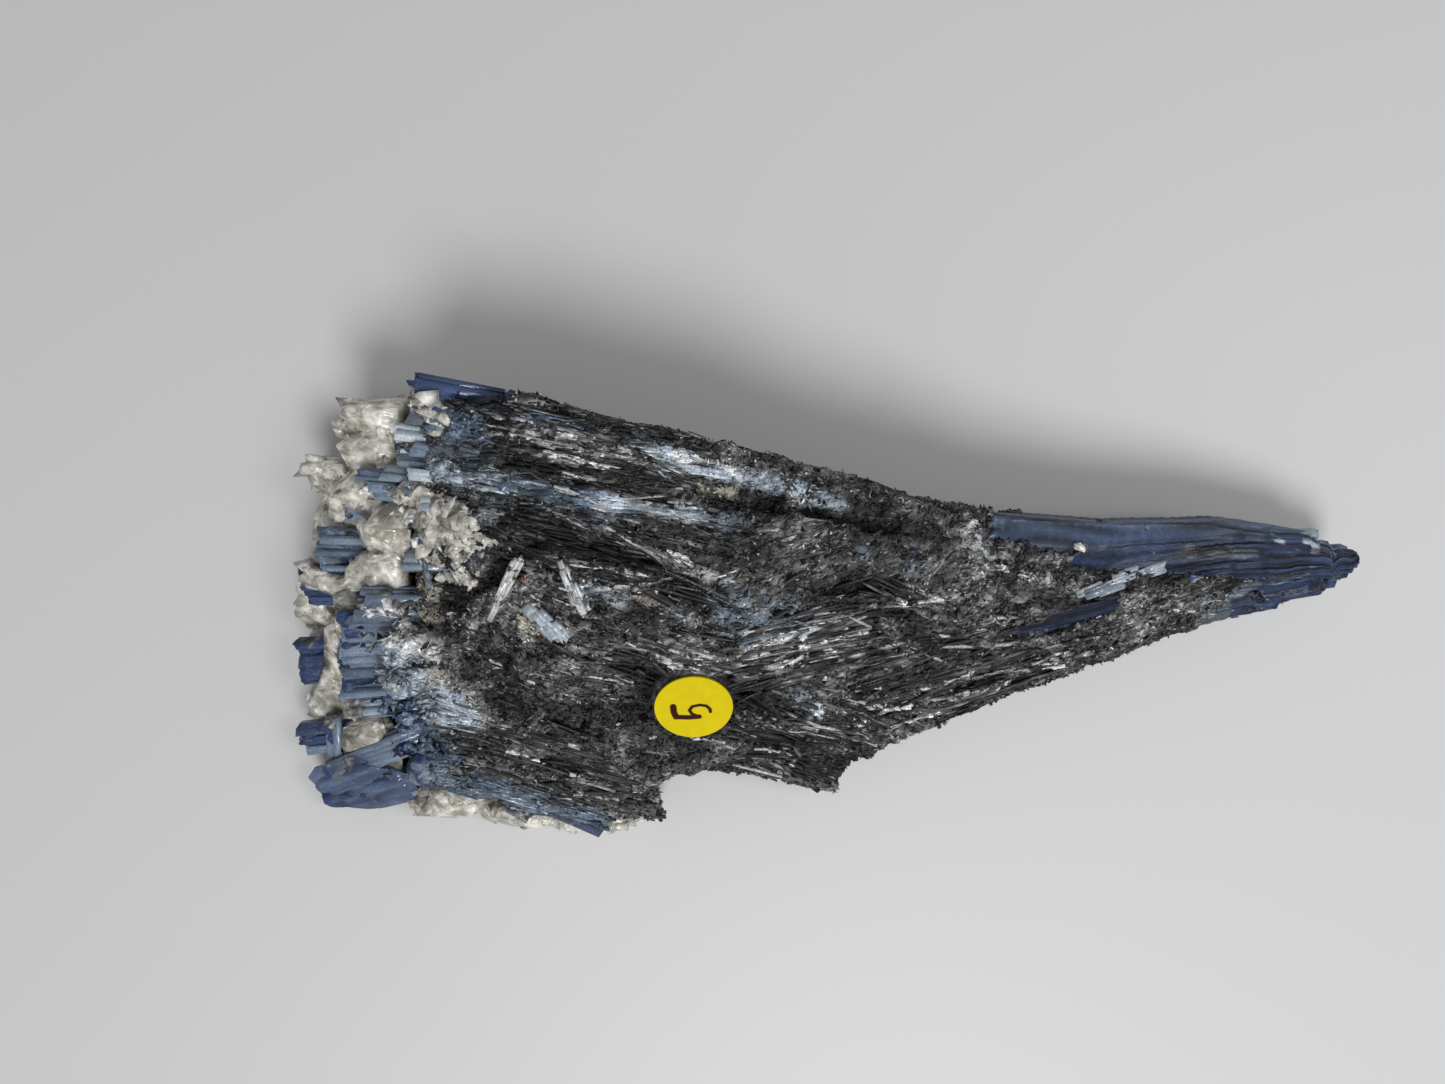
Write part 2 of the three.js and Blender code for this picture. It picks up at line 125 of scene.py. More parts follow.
def weave(p, patch, facing):
    """Places along the blades and across them, for textures and rows. facing is the skin's direction."""
    turn = np.radians(PATCHES[patch, 2])
    along = p[:, 0] * np.cos(turn) + p[:, 1] * np.sin(turn)
    across = p[:, 1] * np.cos(turn) - p[:, 0] * np.sin(turn) - np.sign(facing[:, 1]) * p[:, 2]
    across += 0.9 * rough(p, 16, 9)
    return np.stack([along, across, patch * 3.7], axis=1)


def rows(woven, patch, width, length, seed):
    """Heights of blades that lie side by side in rows, from -1 to 1, with a groove between rows."""
    v = woven[:, 1] / width + seed * 0.37
    row = np.floor(v)
    edge = np.minimum(v - row, row + 1 - v) * width
    stretch = length * (0.6 + chance(row, patch, seed))
    u = woven[:, 0] / stretch + chance(row, patch, seed + 1)
    part = np.floor(u)
    height = 2 * chance(row, part, patch, seed + 2) - 1
    tilt = (u - part - 0.5) * (chance(row, part, patch, seed + 3) - 0.5) * 1.4
    return height + tilt - 0.5 * np.exp(-((edge / 0.3) ** 2))


# Furrows between the sheaves of blades: both ends seen from above, half width and depth
FURROWS = [
    (-45, -10.3, -33, -3, 1.6, 1.5), (-33, -3, -27, 0.4, 1.3, 1.3), (-27, 0.4, -14, -1.6, 1.5, 1.6),
    (-14, -1.6, -4, -8.4, 1.5, 1.5), (-34, 12.6, -8, 6.4, 1, 0.9), (-2, -24, 14, -30, 1.4, 1.2),
    (30, -12, 46, -19.6, 1, 0.9), (14, -8, 30, -6.6, 1.4, 1), (4, 6.6, 34, 1.4, 1.4, 1.1),
    (-38, -27, -8, -31, 1.3, 0.8), (-28, -17.6, 0, -25, 1.2, 0.8), (46, -10.4, 70, -8.4, 1.2, 1.2),
]


def line_gap(spot, x0, y0, x1, y1):
    """How far places in a plane are from the line between two others."""
    start, way = np.array([x0, y0]), np.array([x1 - x0, y1 - y0])
    t = np.clip(((spot - start) @ way) / (way @ way), 0, 1)
    return np.linalg.norm(spot - start - t[:, None] * way, axis=1)


def furrows(p):
    """How deep the points p lie in a furrow."""
    spot = p[:, :2] + 0.8 * drift(p, 3.5, 15)
    gaps = [depth * np.exp(-((line_gap(spot, *line) / half) ** 2)) for *line, half, depth in FURROWS]
    return np.max(gaps, axis=0)


def relief(p, patch, woven):
    """How far the crust stands up or sinks at the points p: rows where it is ribbed, else lumps."""
    ribbed = PATCHES[patch, 3]
    high = 0.45 * rows(woven, patch, 4.6, 26, 31) + 0.42 * rows(woven, patch, 2.1, 13, 33)
    high += 0.22 * rows(woven, patch, 1.1, 8, 35)
    lumps = 0.95 * rough(p, 2.8, 33) + 0.60 * rough(p, 1.4, 34)
    return ribbed * high + (1 - ribbed) * lumps + 0.6 * rough(p, 6, 35) - furrows(p)


# Colours of the minerals, each from its dull to its bright shade, then the colour of its painted glints and
# their share
MINERALS = {
    "crust": [(0.008, 0.008, 0.009), (0.270, 0.270, 0.270), (0.60, 0.60, 0.60), 0.07],
    "grey": [(0.03, 0.03, 0.03), (0.42, 0.42, 0.415), (0.7, 0.7, 0.7), 0.12],
    "dark": [(0.005, 0.005, 0.006), (0.09, 0.09, 0.093), (0.40, 0.40, 0.40), 0.03],
    "steel": [(0.03, 0.040, 0.050), (0.22, 0.27, 0.33), (0.50, 0.55, 0.60), 0.06],
    "deep": [(0.006, 0.012, 0.036), (0.032, 0.062, 0.160), (0.24, 0.31, 0.42), 0.02],
    "blue": [(0.035, 0.055, 0.095), (0.21, 0.28, 0.38), (0.48, 0.55, 0.63), 0.08],
    "pale": [(0.14, 0.19, 0.25), (0.54, 0.60, 0.66), (0.80, 0.84, 0.86), 0.15],
    "silver": [(0.15, 0.16, 0.17), (0.72, 0.73, 0.74), (0.95, 0.95, 0.95), 0.25],
    "beige": [(0.12, 0.105, 0.08), (0.48, 0.45, 0.38), (0.62, 0.60, 0.54), 0.1],
    "rust": [(0.03, 0.008, 0.004), (0.18, 0.065, 0.022), (0.3, 0.16, 0.08), 0.05],
}

# Where the crust is worn thin or another mineral shows, and one strip of painted shade: both ends of a strip
# seen from above, its half width, mineral and share of the bits there. Later strips lie over earlier ones
STRIPS = [
    (-48.5, 24, -48.5, -44, 1.8, "beige", 0.8), (-40, 24.5, -22, 22, 2.2, "grey", 0.5),
    (-30, 17, -10, 12, 4.5, "dark", 0.5), (-31, 18.6, -14, 14, 0.4, "silver", 0.5),
    (-29, 15.6, -8, 11.2, 0.35, "silver", 0.55), (-26, 13.4, -12, 10.6, 0.3, "silver", 0.35),
    # The first dark strip on this line is painted shade, standing in for a hollow between the ridges
    (-30, 1, -12, -3, 4.2, "dark", 0.6), (-26, -2.5, -10, -6, 0.4, "silver", 0.3),
    (-13, -0.8, 0.5, -6.4, 0.7, "silver", 0.55), (3, 12.5, 38, 6, 2.2, "grey", 0.3),
    (0, 3, 12, 1, 2.5, "grey", 0.5), (24, -1, 36, -4, 3, "steel", 0.25),
    (-4, -10, 8, -12, 3.2, "steel", 0.45), (36, -2, 62, -8, 4.2, "grey", 0.65),
    (4, -17.4, 23, -12.6, 0.5, "silver", 0.5), (3, -19.6, 25, -14.6, 0.45, "silver", 0.4),
    (6, -15.6, 18, -12.4, 0.35, "silver", 0.35), (26, -8.5, 33, -12, 0.4, "silver", 0.6),
    (30, -13, 40, -17, 0.35, "silver", 0.6), (34, -9.6, 44, -9.8, 1, "silver", 0.3),
    (24, -29, 44, -22.5, 0.6, "silver", 0.35), (30, -31, 60, -21.5, 0.7, "silver", 0.35),
    (44, -25, 74, -16, 1.6, "grey", 0.5), (60, -12.5, 88, -9.5, 2.6, "grey", 0.6),
    (-22, -11.5, -2, -20, 0.8, "silver", 0.22), (-46, -12, -30, -18, 1, "silver", 0.2),
    (-12, -24, 2, -30, 5, "dark", 0.35), (12, -24, 16, -28, 1.6, "pale", 0.45),
    (-38, -7, -28, -10, 3, "grey", 0.5), (-22, -8, -16, -9, 1.8, "pale", 0.5),
    (-14, -9, -11, -9.5, 1, "beige", 0.7), (-48, 3, -38, 1, 4, "steel", 0.4),
    (-45, 18.5, -38, 17.5, 2.6, "blue", 0.85), (-46, 14, -38, 13.5, 3, "steel", 0.85),
    (-48, 25.4, -35, 23, 2.4, "deep", 1), (-30, 19.4, -26, 18.6, 1.2, "blue", 0.6),
    (-44, 9.2, -16, 3.6, 1.6, "steel", 0.4), (-48, 11.5, -32, 8.9, 1.4, "pale", 1),
    (-34, 9.2, -14, 5.6, 1, "blue", 1), (-18, 6.2, 2.5, 2.8, 1.3, "pale", 1),
    (-30, 8.8, -8, 4.6, 0.35, "silver", 0.5), (-13, 14.8, -4, 12.6, 1.2, "blue", 0.7),
    (-9, 13.2, 8, 8.8, 1.6, "pale", 1), (-7, 13.4, 5, 10.2, 0.7, "silver", 0.9),
    (4, 10.4, 13, 8, 1.2, "pale", 0.6), (-3, 8.2, 4, 7, 1, "beige", 0.7),
    (13, 7.4, 19, 5.6, 1.5, "pale", 0.6), (39.5, 0.4, 45, -2.4, 2.2, "silver", 0.9),
    (40, 8.2, 106, 3.5, 5.6, "deep", 1), (43, 2.6, 104, -0.5, 3.2, "deep", 1),
    (60, -3, 100, -4.5, 2.2, "deep", 1), (100, -3, 114, -5, 7, "deep", 1),
    (80, -1.6, 92, -2.2, 1, "steel", 0.6), (96, 1, 104, -1, 1, "pale", 0.4),
    (39.6, 1.4, 43.6, -2.4, 2.2, "silver", 1), (50, -15.3, 58, -13.4, 0.9, "deep", 1),
    (56, -14, 67, -10.6, 1.6, "deep", 1), (86, -12.5, 104, -8, 2.8, "steel", 0.55),
    (92, -11.5, 106, -7, 2.2, "deep", 0.7), (45, -3.6, 74, -6, 0.7, "dark", 0.8),
    (66, -7.6, 80, -6.6, 0.8, "dark", 0.9), (-70, 6, -52, 12, 4, "blue", 1),
    (-72, 0, -62, -4, 5, "blue", 1), (-68, -10, -56, -30, 7, "deep", 1),
    (-57, -13, -50, -18, 3.5, "silver", 0.9), (-57, -20, -47, -28, 4, "pale", 0.9),
    (-56, -30, -50, -38, 3.5, "blue", 0.8), (-78, -22, -70, -22, 5, "deep", 1),
    (-78, -36, -70, -36, 4, "deep", 1), (-76, -46, -56, -45, 7, "deep", 1),
    (-58, -41, -44, -44, 2.5, "steel", 0.8), (-41, -44, -22, -52, 2.4, "blue", 0.9),
    (-31, -12, -26, -15, 1.6, "beige", 0.7), (-28.5, -15.5, -26.5, -16.5, 1, "rust", 0.9),
    (-32.2, -5, -31.4, -5.8, 0.7, "rust", 0.7),
]


def blue_start(p):
    """How far along X the crust ends and the bare blue crystal starts, more ragged on the far side."""
    return 43.5 + (1.3 * rough(p, 9, 29) + 0.5 * rough(p, 2.5, 30)) * np.clip(31 - p[:, 2], 1.5, 12)


def mineral_kinds(p, seed, mixed=1.0):
    """The mineral of each bit of stone at the points p."""
    dice = np.random.default_rng(seed)
    kind = np.full(len(p), "crust", dtype="<U8")
    edge = 1 + 0.4 * rough(p, 4, 21) + 0.35 * rough(p, 1.3, 22) + 0.2 * mixed * dice.standard_normal(len(p))
    patchy = 0.5 + 0.75 * rough(p, 1.7, 27)
    x, y, z = p.T
    seen = (y < 8) | (x > 40) | (z > 25 + 6 * rough(p, 5, 28))
    for *line, half, name, share in STRIPS:
        here = (line_gap(p[:, :2], *line) < half * edge) & (z > 1) & seen
        here &= ((dice.random(len(p)) if mixed else patchy) < share) | (share == 1)
        kind[here] = name
    kind[(x < blue_start(p)) & (x > 30) & (y > 1.5) & np.isin(kind, ["deep", "steel"])] = "crust"
    return kind


def mix(one, other, share):
    return np.asarray(one) * (1 - share) + np.asarray(other) * share


def mineral_colours(kind, p, woven, ribbed, seed, glints=1.0):
    """A colour and a roughness for each bit of the minerals, lighter and darker in lumps and in rows."""
    dice = np.random.default_rng(seed)
    lumps = 0.55 * rough(p, 1.6, 23) + 0.5 * rough(p, 5, 24) + 0.3 * rough(p, 12, 26)
    lines = rough(woven, [7, 0.7, 1], 25)
    level = 0.49 - 0.06 * ribbed + 0.42 * lumps + 0.34 * ribbed * lines + 0.28 * dice.standard_normal(len(p))
    level = np.clip(level, 0, 1.15)[:, None] ** 1.9
    colour = np.zeros((len(kind), 3))
    gloss = dice.uniform(0.25, 0.6, len(kind))
    for name, (dull, fair, bright, share) in MINERALS.items():
        here = np.flatnonzero(kind == name)
        tone = level[here] if name in ("crust", "dark", "grey") else 0.3 + 0.65 * level[here]
        shade = mix(dull, fair, tone)
        # Painted glints: a share of the bits take the glint colour in place of their own shade
        glint = dice.random(len(here)) < share * glints
        shade[glint] = np.array(bright) * dice.uniform(0.4, 1, (int(glint.sum()), 1))
        colour[here] = shade
        if name in ("deep", "blue", "steel", "pale"):
            gloss[here] *= 0.6
    return colour, gloss


def fill(tree, made, sockets):
    """Sets each named socket of a node to its value, or links an output to it."""
    for name, value in sockets.items():
        if isinstance(value, bpy.types.NodeSocket):
            tree.links.new(value, made.inputs[name])
        else:
            made.inputs[name].default_value = value


def node(tree, kind, sockets, out=0, **settings):
    """The output of a new node whose sockets are filled."""
    made = tree.nodes.new("ShaderNode" + kind)
    for name, value in settings.items():
        setattr(made, name, value)
    fill(tree, made, sockets)
    return made.outputs[out]


def spread(tree, source, low, high, least, most):
    """A texture's values from low to high, spread from least to most."""
    ends = {"Value": source, "From Min": low, "From Max": high, "To Min": least, "To Max": most}
    return node(tree, "MapRange", ends, "Result")


def new_material(name):
    made = bpy.data.materials.new(name)
    made.use_nodes = True
    return made, made.node_tree, made.node_tree.nodes["Principled BSDF"]


def stone_material(name, fine=1.0, shine=0.0, clear=0.0, index=1.6):
    """Stone that takes its colour and roughness from its bits, with fine threads along the grain."""
    made, tree, shader = new_material(name)
    tint = node(tree, "Attribute", {}, "Color", attribute_name="tint")
    gloss = node(tree, "Attribute", {}, "Fac", attribute_name="gloss")
    woven = node(tree, "Attribute", {}, "Vector", attribute_name="woven")
    stretched = node(tree, "Mapping", {"Vector": woven, "Scale": (0.45, 3.2, 3.2)})
    threads = node(tree, "TexNoise", {"Vector": stretched, "Scale": 1, "Detail": 5, "Roughness": 0.65}, "Fac")
    place = node(tree, "TexCoord", {}, "Object")
    grains = node(tree, "TexNoise", {"Vector": place, "Scale": 2600, "Detail": 3}, "Fac")
    level = spread(tree, threads, 0.3, 0.7, 1 - 0.5 * fine, 1 + 0.55 * fine)
    speck = spread(tree, grains, 0.35, 0.72, 1 - 0.35 * fine, 1 + 0.5 * fine)
    both = node(tree, "Math", {0: level, 1: speck}, operation="MULTIPLY")
    polish = spread(tree, threads, 0.3, 0.7, 0.12 - shine, -0.08 - shine)
    relief = node(tree, "Math", {0: threads, 1: grains})
    fill(tree, shader, {
        "IOR": index, "Transmission Weight": clear,
        "Base Color": node(tree, "VectorMath", {0: tint, "Scale": both}, operation="SCALE"),
        "Roughness": node(tree, "Math", {0: gloss, 1: polish}, use_clamp=True),
        "Normal": node(tree, "Bump", {"Strength": 0.6 * fine, "Distance": 0.00015, "Height": relief}),
    })
    return made


def paint(made, colour, gloss, woven):
    """Stores each vertex's colour, roughness and place along the grain."""
    new = made.data.attributes.new
    tint = np.c_[colour, np.ones(len(colour))].astype(np.float32)
    new("tint", "FLOAT_COLOR", "POINT").data.foreach_set("color", tint.ravel())
    new("gloss", "FLOAT", "POINT").data.foreach_set("value", gloss.astype(np.float32))
    new("woven", "FLOAT_VECTOR", "POINT").data.foreach_set("vector", woven.astype(np.float32).ravel())


def piece(name, verts, faces, material, slot):
    """A new piece of the specimen from points in this script's millimetres and same-sized faces."""
    mesh = bpy.data.meshes.new(name)
    verts = (np.reshape(verts, (-1, 3)) + SHIFT) / 1000
    mesh.from_pydata(verts.tolist(), [], np.asarray(faces).tolist(), shade_flat=False)
    mesh.materials.append(material)
    made = bpy.data.objects.new(name, mesh)
    bpy.context.scene.collection.objects.link(made)
    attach(made, "root")
    return made


def merged(node_name):
    """A copy of a CAD solid's mesh with its doubled corners joined, in triangles."""
    joined = bmesh.new()
    joined.from_mesh(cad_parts[node_name].data)
    bmesh.ops.remove_doubles(joined, verts=joined.verts, dist=0.00001)
    bmesh.ops.triangulate(joined, faces=joined.faces)
    mesh = bpy.data.meshes.new("merged")
    joined.to_mesh(mesh)
    joined.free()
    return mesh


def remade(node_name, voxel):
    """A CAD solid's outer skin remade in even small faces: its points, normals and faces."""
    copy = bpy.data.objects.new("remade", merged(node_name))
    bpy.context.scene.collection.objects.link(copy)
    remesh = copy.modifiers.new("even", "REMESH")
    remesh.mode = "VOXEL"
    remesh.voxel_size = voxel / 1000
    mesh = bpy.data.meshes.new_from_object(copy.evaluated_get(bpy.context.evaluated_depsgraph_get()))
    bpy.data.objects.remove(copy)
    points, normals = np.zeros((2, len(mesh.vertices) * 3), np.float32)
    mesh.vertices.foreach_get("co", points)
    mesh.vertices.foreach_get("normal", normals)
    faces = np.zeros(len(mesh.loops), np.int32)
    mesh.loops.foreach_get("vertex_index", faces)
    faces = faces.reshape(-1, 4)
    # Joined points get one part number, and only the largest part stays, not the walls of hollows
    part, before = np.arange(len(mesh.vertices)), None
    while before is None or (part != before).any():
        before = part
        part = before.copy()
        np.minimum.at(part, faces.ravel(), np.repeat(before[faces].min(axis=1), 4))
        part = part[part]
    outer = part == np.bincount(part).argmax()
    faces = (np.cumsum(outer) - 1)[faces[outer[faces[:, 0]]]]
    points, normals = [each.reshape(-1, 3).astype(np.float64)[outer] for each in (points, normals)]
    return points * 1000 - SHIFT, normals, faces


LOWEST = 0.02


def on_table(points):
    """Nothing reaches below the table."""
    points[..., 2] = np.maximum(points[..., 2], LOWEST)
    return points


def bare(kind, p):
    """Which of the points p are on the bare blue crystal at the thin end or the blue block at the back."""
    x, y, _ = p.T
    uncovered = (x > np.minimum(blue_start(p), 50)) | ((x < -33.5) & (y > 20.3))
    return np.isin(kind, ["deep", "steel", "blue", "pale"]) & uncovered


crust_stone = stone_material("crust_stone", index=1.38)
CRUST_VOXEL, FLAT_UNDER_STICKER = 0.63, 7.6
skin_points, skin_normals, body_faces = remade("kyanite_spray", CRUST_VOXEL)
patch = patches(skin_points)
woven = weave(skin_points, patch, skin_normals)
kind = mineral_kinds(skin_points, 41, mixed=0.0)
waves = relief(skin_points, patch, woven)
waves = np.where(bare(kind, skin_points), -1.6, waves)
waves[np.linalg.norm(skin_points - STICKER_MIDDLE, axis=1) < FLAT_UNDER_STICKER] *= 0.15
body_points = on_table(skin_points + skin_normals * (waves - 0.1)[:, None])
body = piece("crust_body", body_points, body_faces, crust_stone, "kyanite_crust")
body.data.shade_smooth()
colour, gloss = mineral_colours(kind, skin_points, woven, PATCHES[patch, 3], 42, glints=0.0)
# Painted shade: the body's colour is darkened where its skin sinks into hollows and furrows, and lightened a
# little on the highest rows
painted_hollow_shade = np.clip(0.55 + 0.75 * waves, 0.15, 1.15)
paint(body, colour * painted_hollow_shade[:, None], gloss + 0.15, woven)
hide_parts("kyanite_spray")

# The crust's scales and blades: thousands of glittering flakes, needles and narrow blades that the crust is
# woven of. Each is a thin closed sliver with flat faces, half sunk in the body along the grain.


def surface_spots(points, faces, count, dice):
    """Random places on a skin, evenly spread by area, with the skin's normals there."""
    corners = points[faces]
    across = np.cross(corners[:, 2] - corners[:, 0], corners[:, 3] - corners[:, 1])
    area = np.linalg.norm(across, axis=1)
    picked = dice.choice(len(faces), count, p=area / area.sum())
    u, v = dice.random((2, count, 1))
    c = corners[picked]
    spots = (c[:, 0] * (1 - u) + c[:, 1] * u) * (1 - v) + (c[:, 3] * (1 - u) + c[:, 2] * u) * v
    return spots, unit(across[picked])


def between(dice, count, least, most, power=1.0):
    return least + (most - least) * dice.random((count, 1)) ** power


def joined(name, made, faces, material, slot):
    """A piece of many like bits: made holds each bit's corners, and faces the faces that every bit has."""
    count, corners = made.shape[:2]
    every = (np.arange(count)[:, None, None] * corners + faces).reshape(-1, faces.shape[1])
    return piece(name, on_table(made), every, material, slot)


# A sliver's corners, each at its near or far end, left or right edge and bottom or top
CORNERS = [(corner & 1, corner >> 1 & 1, corner >> 2) for corner in range(8)]
SLIVER_FACES = np.array([[0, 2, 3, 1], [4, 5, 7, 6], [0, 1, 5, 4], [2, 6, 7, 3], [0, 4, 6, 2], [1, 3, 7, 5]])
FLAKE_FACES = np.array([[0, 1, 2], [0, 3, 1], [1, 3, 2], [2, 3, 0]])


def flatness(normal):
    """From nearly 0 on steep faces to 1 on level ones, to keep the outline clean."""
    return np.clip(normal[:, 2:] * 1.6, 0.15, 1)


CLEAR_OF_STICKER = 7.2


def bed(count, seed, keep, wander, level=-1.0):
    """Where slivers lie on the body: their places, patches, normals and directions."""
    dice = np.random.default_rng(seed)
    spot, normal = surface_spots(body_points, body_faces, count, dice)
    patch = patches(spot)
    chosen = keep(spot, patch, dice) & (spot[:, 2] > 0.5) & (normal[:, 2] > level)
    chosen &= np.linalg.norm(spot - STICKER_MIDDLE, axis=1) > CLEAR_OF_STICKER
    spot, normal, patch = spot[chosen], normal[chosen], patch[chosen]
    along = grain(spot, patch)
    facing = (along * normal).sum(1, keepdims=True)
    lying = np.abs(facing) < 0.8
    along = np.where(lying, along - facing * normal, along)
    along = unit(along + wander * dice.standard_normal((len(spot), 3)) * np.where(lying, 1, 0.3))
    proud = (along * normal).sum(1, keepdims=True) * (1 - 0.7 * flatness(normal))
    along = np.where(lying, unit(along - proud * normal), along)
    return dice, spot, normal, patch, along, lying


def finish_bits(name, made, faces, spot, normal, patch, seed):
    """Joins flakes or slivers as a piece, each coloured as one mineral."""
    bits = joined(name, made, faces, crust_stone, "kyanite_crust")
    corners = made.shape[1]
    woven = weave(spot, patch, normal)
    tint, shine = mineral_colours(mineral_kinds(spot, seed + 1), spot, woven, PATCHES[patch, 3], seed + 2)
    # Painted shade and light: each bit is darkened where the crust's relief sinks and lightened where it
    # rises
    tint *= np.clip(0.72 + 0.8 * relief(spot, patch, woven), 0.15, 1.45)[:, None]
    woven = weave(made.reshape(-1, 3), np.repeat(patch, corners), np.repeat(normal, corners, axis=0))
    paint(bits, np.repeat(tint, corners, axis=0), np.repeat(shine, corners), woven)


def flakes(name, count, length, width, lift, seed, keep, wander):
    """A joined piece of three-sided flakes. length, width and lift are (least, most) in millimetres, and
    keep says which of the spots get one."""
    dice, spot, normal, patch, along, _ = bed(count, seed, keep, wander)
    count = len(spot)
    side = unit(np.cross(normal, along))
    half = between(dice, count, *length, 2.0) / 2
    wide = between(dice, count, *width, 1.5) / 2
    made = np.zeros((count, 4, 3))
    for corner, (reach, out) in enumerate([(1, 0.2), (-1, 0.8), (-0.6, -1)]):
        shift = along * half * reach * dice.uniform(0.6, 1.2, (count, 1))
        shift += side * wide * (out + dice.uniform(-0.5, 0.5, (count, 1)))
        made[:, corner] = spot + shift + normal * between(dice, count, *lift) * flatness(normal)
    made[:, 3] = spot - normal * 0.3
    flip = (np.cross(made[:, 1] - made[:, 0], made[:, 2] - made[:, 0]) * normal).sum(1) < 0
    made[flip] = made[flip][:, [0, 2, 1, 3]]
    finish_bits(name, made, FLAKE_FACES, spot, normal, patch, seed)


def slivers(name, count, length, width, lift, seed, keep, wander, level=-1.0):
    """A joined piece of four-sided blades, measured as flakes are."""
    dice, spot, normal, patch, along, lying = bed(count, seed, keep, wander, level)
    count = len(spot)
    side = unit(np.cross(normal + 0.2 * dice.standard_normal((count, 3)), along))
    up = np.cross(along, side)
    half = between(dice, count, *length, 2.0) / 2 * np.where(lying, 1, 0.35)
    wide = between(dice, count, *width, 1.6) / 2
    rise = np.where(lying, between(dice, count, *lift, 1.5) * flatness(normal), 0.5 * wide)
    depth = np.where(lying, 0.6, wide)
    made = np.zeros((count, 8, 3))
    for corner, (end, edge, top) in enumerate(CORNERS):
        narrow = dice.uniform(0.5, 1.0, (count, 1))
        reach = (half + dice.uniform(-0.5, 0.5, (count, 1)) * wide) * (2 * end - 1)
        out = wide * narrow * (2 * edge - 1) * (0.8 if top else 1)
        height = rise * dice.uniform(0.6, 1.1, (count, 1)) if top else -depth
        made[:, corner] = spot + along * reach + side * out + up * height
    finish_bits(name, made, SLIVER_FACES, spot, normal, patch, seed)


# The quartz that reaches over the crust's edge: both ends of each strip and its half width
QUARTZ_PATCHES = [(-53, 3.4, -42.6, 1.8, 4.4), (-45, -5.5, -41, -6.5, 1.0), (-48, 22, -45.6, 20, 1.8)]


def in_quartz(spot):
    """Which spots lie under the quartz on the crust."""
    reach = 1 + 0.3 * rough(spot, 3, 66) + 0.2 * rough(spot, 1.2, 67)
    gaps = [line_gap(spot[:, :2], *line) / half for *line, half in QUARTZ_PATCHES]
    return (np.min(gaps, axis=0) < reach) & (spot[:, 2] > 12)


def on_crust(spot):
    """Away from the bare blue tip and the broken end, which have blades of their own."""
    x, y, _ = spot.T
    crusted = ((x > -52) | ((x > -60) & (y < -12) & (y > -39))) & (x < 100)
    crusted &= ~bare(mineral_kinds(spot, 1, mixed=0.0), spot)
    return crusted & ~in_quartz(spot) & ~pale_front(spot, 0, 0)


def ribbed_crust(spot, patch, dice):
    return on_crust(spot) & (dice.random(len(spot)) < PATCHES[patch, 3] ** 1.5)


def any_crust(spot, patch, dice):
    return on_crust(spot) & (dice.random(len(spot)) < 1.05 - 0.7 * PATCHES[patch, 3])


def blue_blocks(spot, patch, dice):
    """Where blue blades reach out of the crust at the back of the broken end."""
    x, y, _ = spot.T
    return (x > -50) & (x < -37) & (y > 9) & ~in_quartz(spot)


def pale_front(spot, patch, dice):
    """Where pale broken kyanite shows at the front of the broken end."""
    x, y, z = spot.T
    return (x > -61) & (x < -46) & (y < -11) & (y > -38) & (z > 8)


def ridged(spot, patch, dice):
    return on_crust(spot) & (dice.random(len(spot)) < 2 * PATCHES[patch, 3] - 0.9)


def silky(spot, patch, dice):
    worn = np.isin(mineral_kinds(spot, 2), ["pale", "silver", "blue"])
    return on_crust(spot) & worn & (spot[:, 0] < 30) & (spot[:, 0] > -47) & (PATCHES[patch, 3] > 0.55)


# The crust's height seen from above, on a grid, for ribbons that follow it
GRID = 1.1
grid_low = body_points[:, :2].min(axis=0) - 3
grid_shape = np.ceil((body_points[:, :2].max(axis=0) + 3 - grid_low) / GRID).astype(int)
heights = np.zeros(grid_shape)
cells = ((body_points[:, :2] - grid_low) / GRID).astype(int)
np.maximum.at(heights, (cells[:, 0], cells[:, 1]), body_points[:, 2])
around = np.stack([np.roll(heights, (i, j), (0, 1)) for i in (-1, 0, 1) for j in (-1, 0, 1)])
filled = (around > 0).sum(axis=0)
heights = np.where(filled > 6, around.sum(axis=0) / np.maximum(filled, 1), 0)


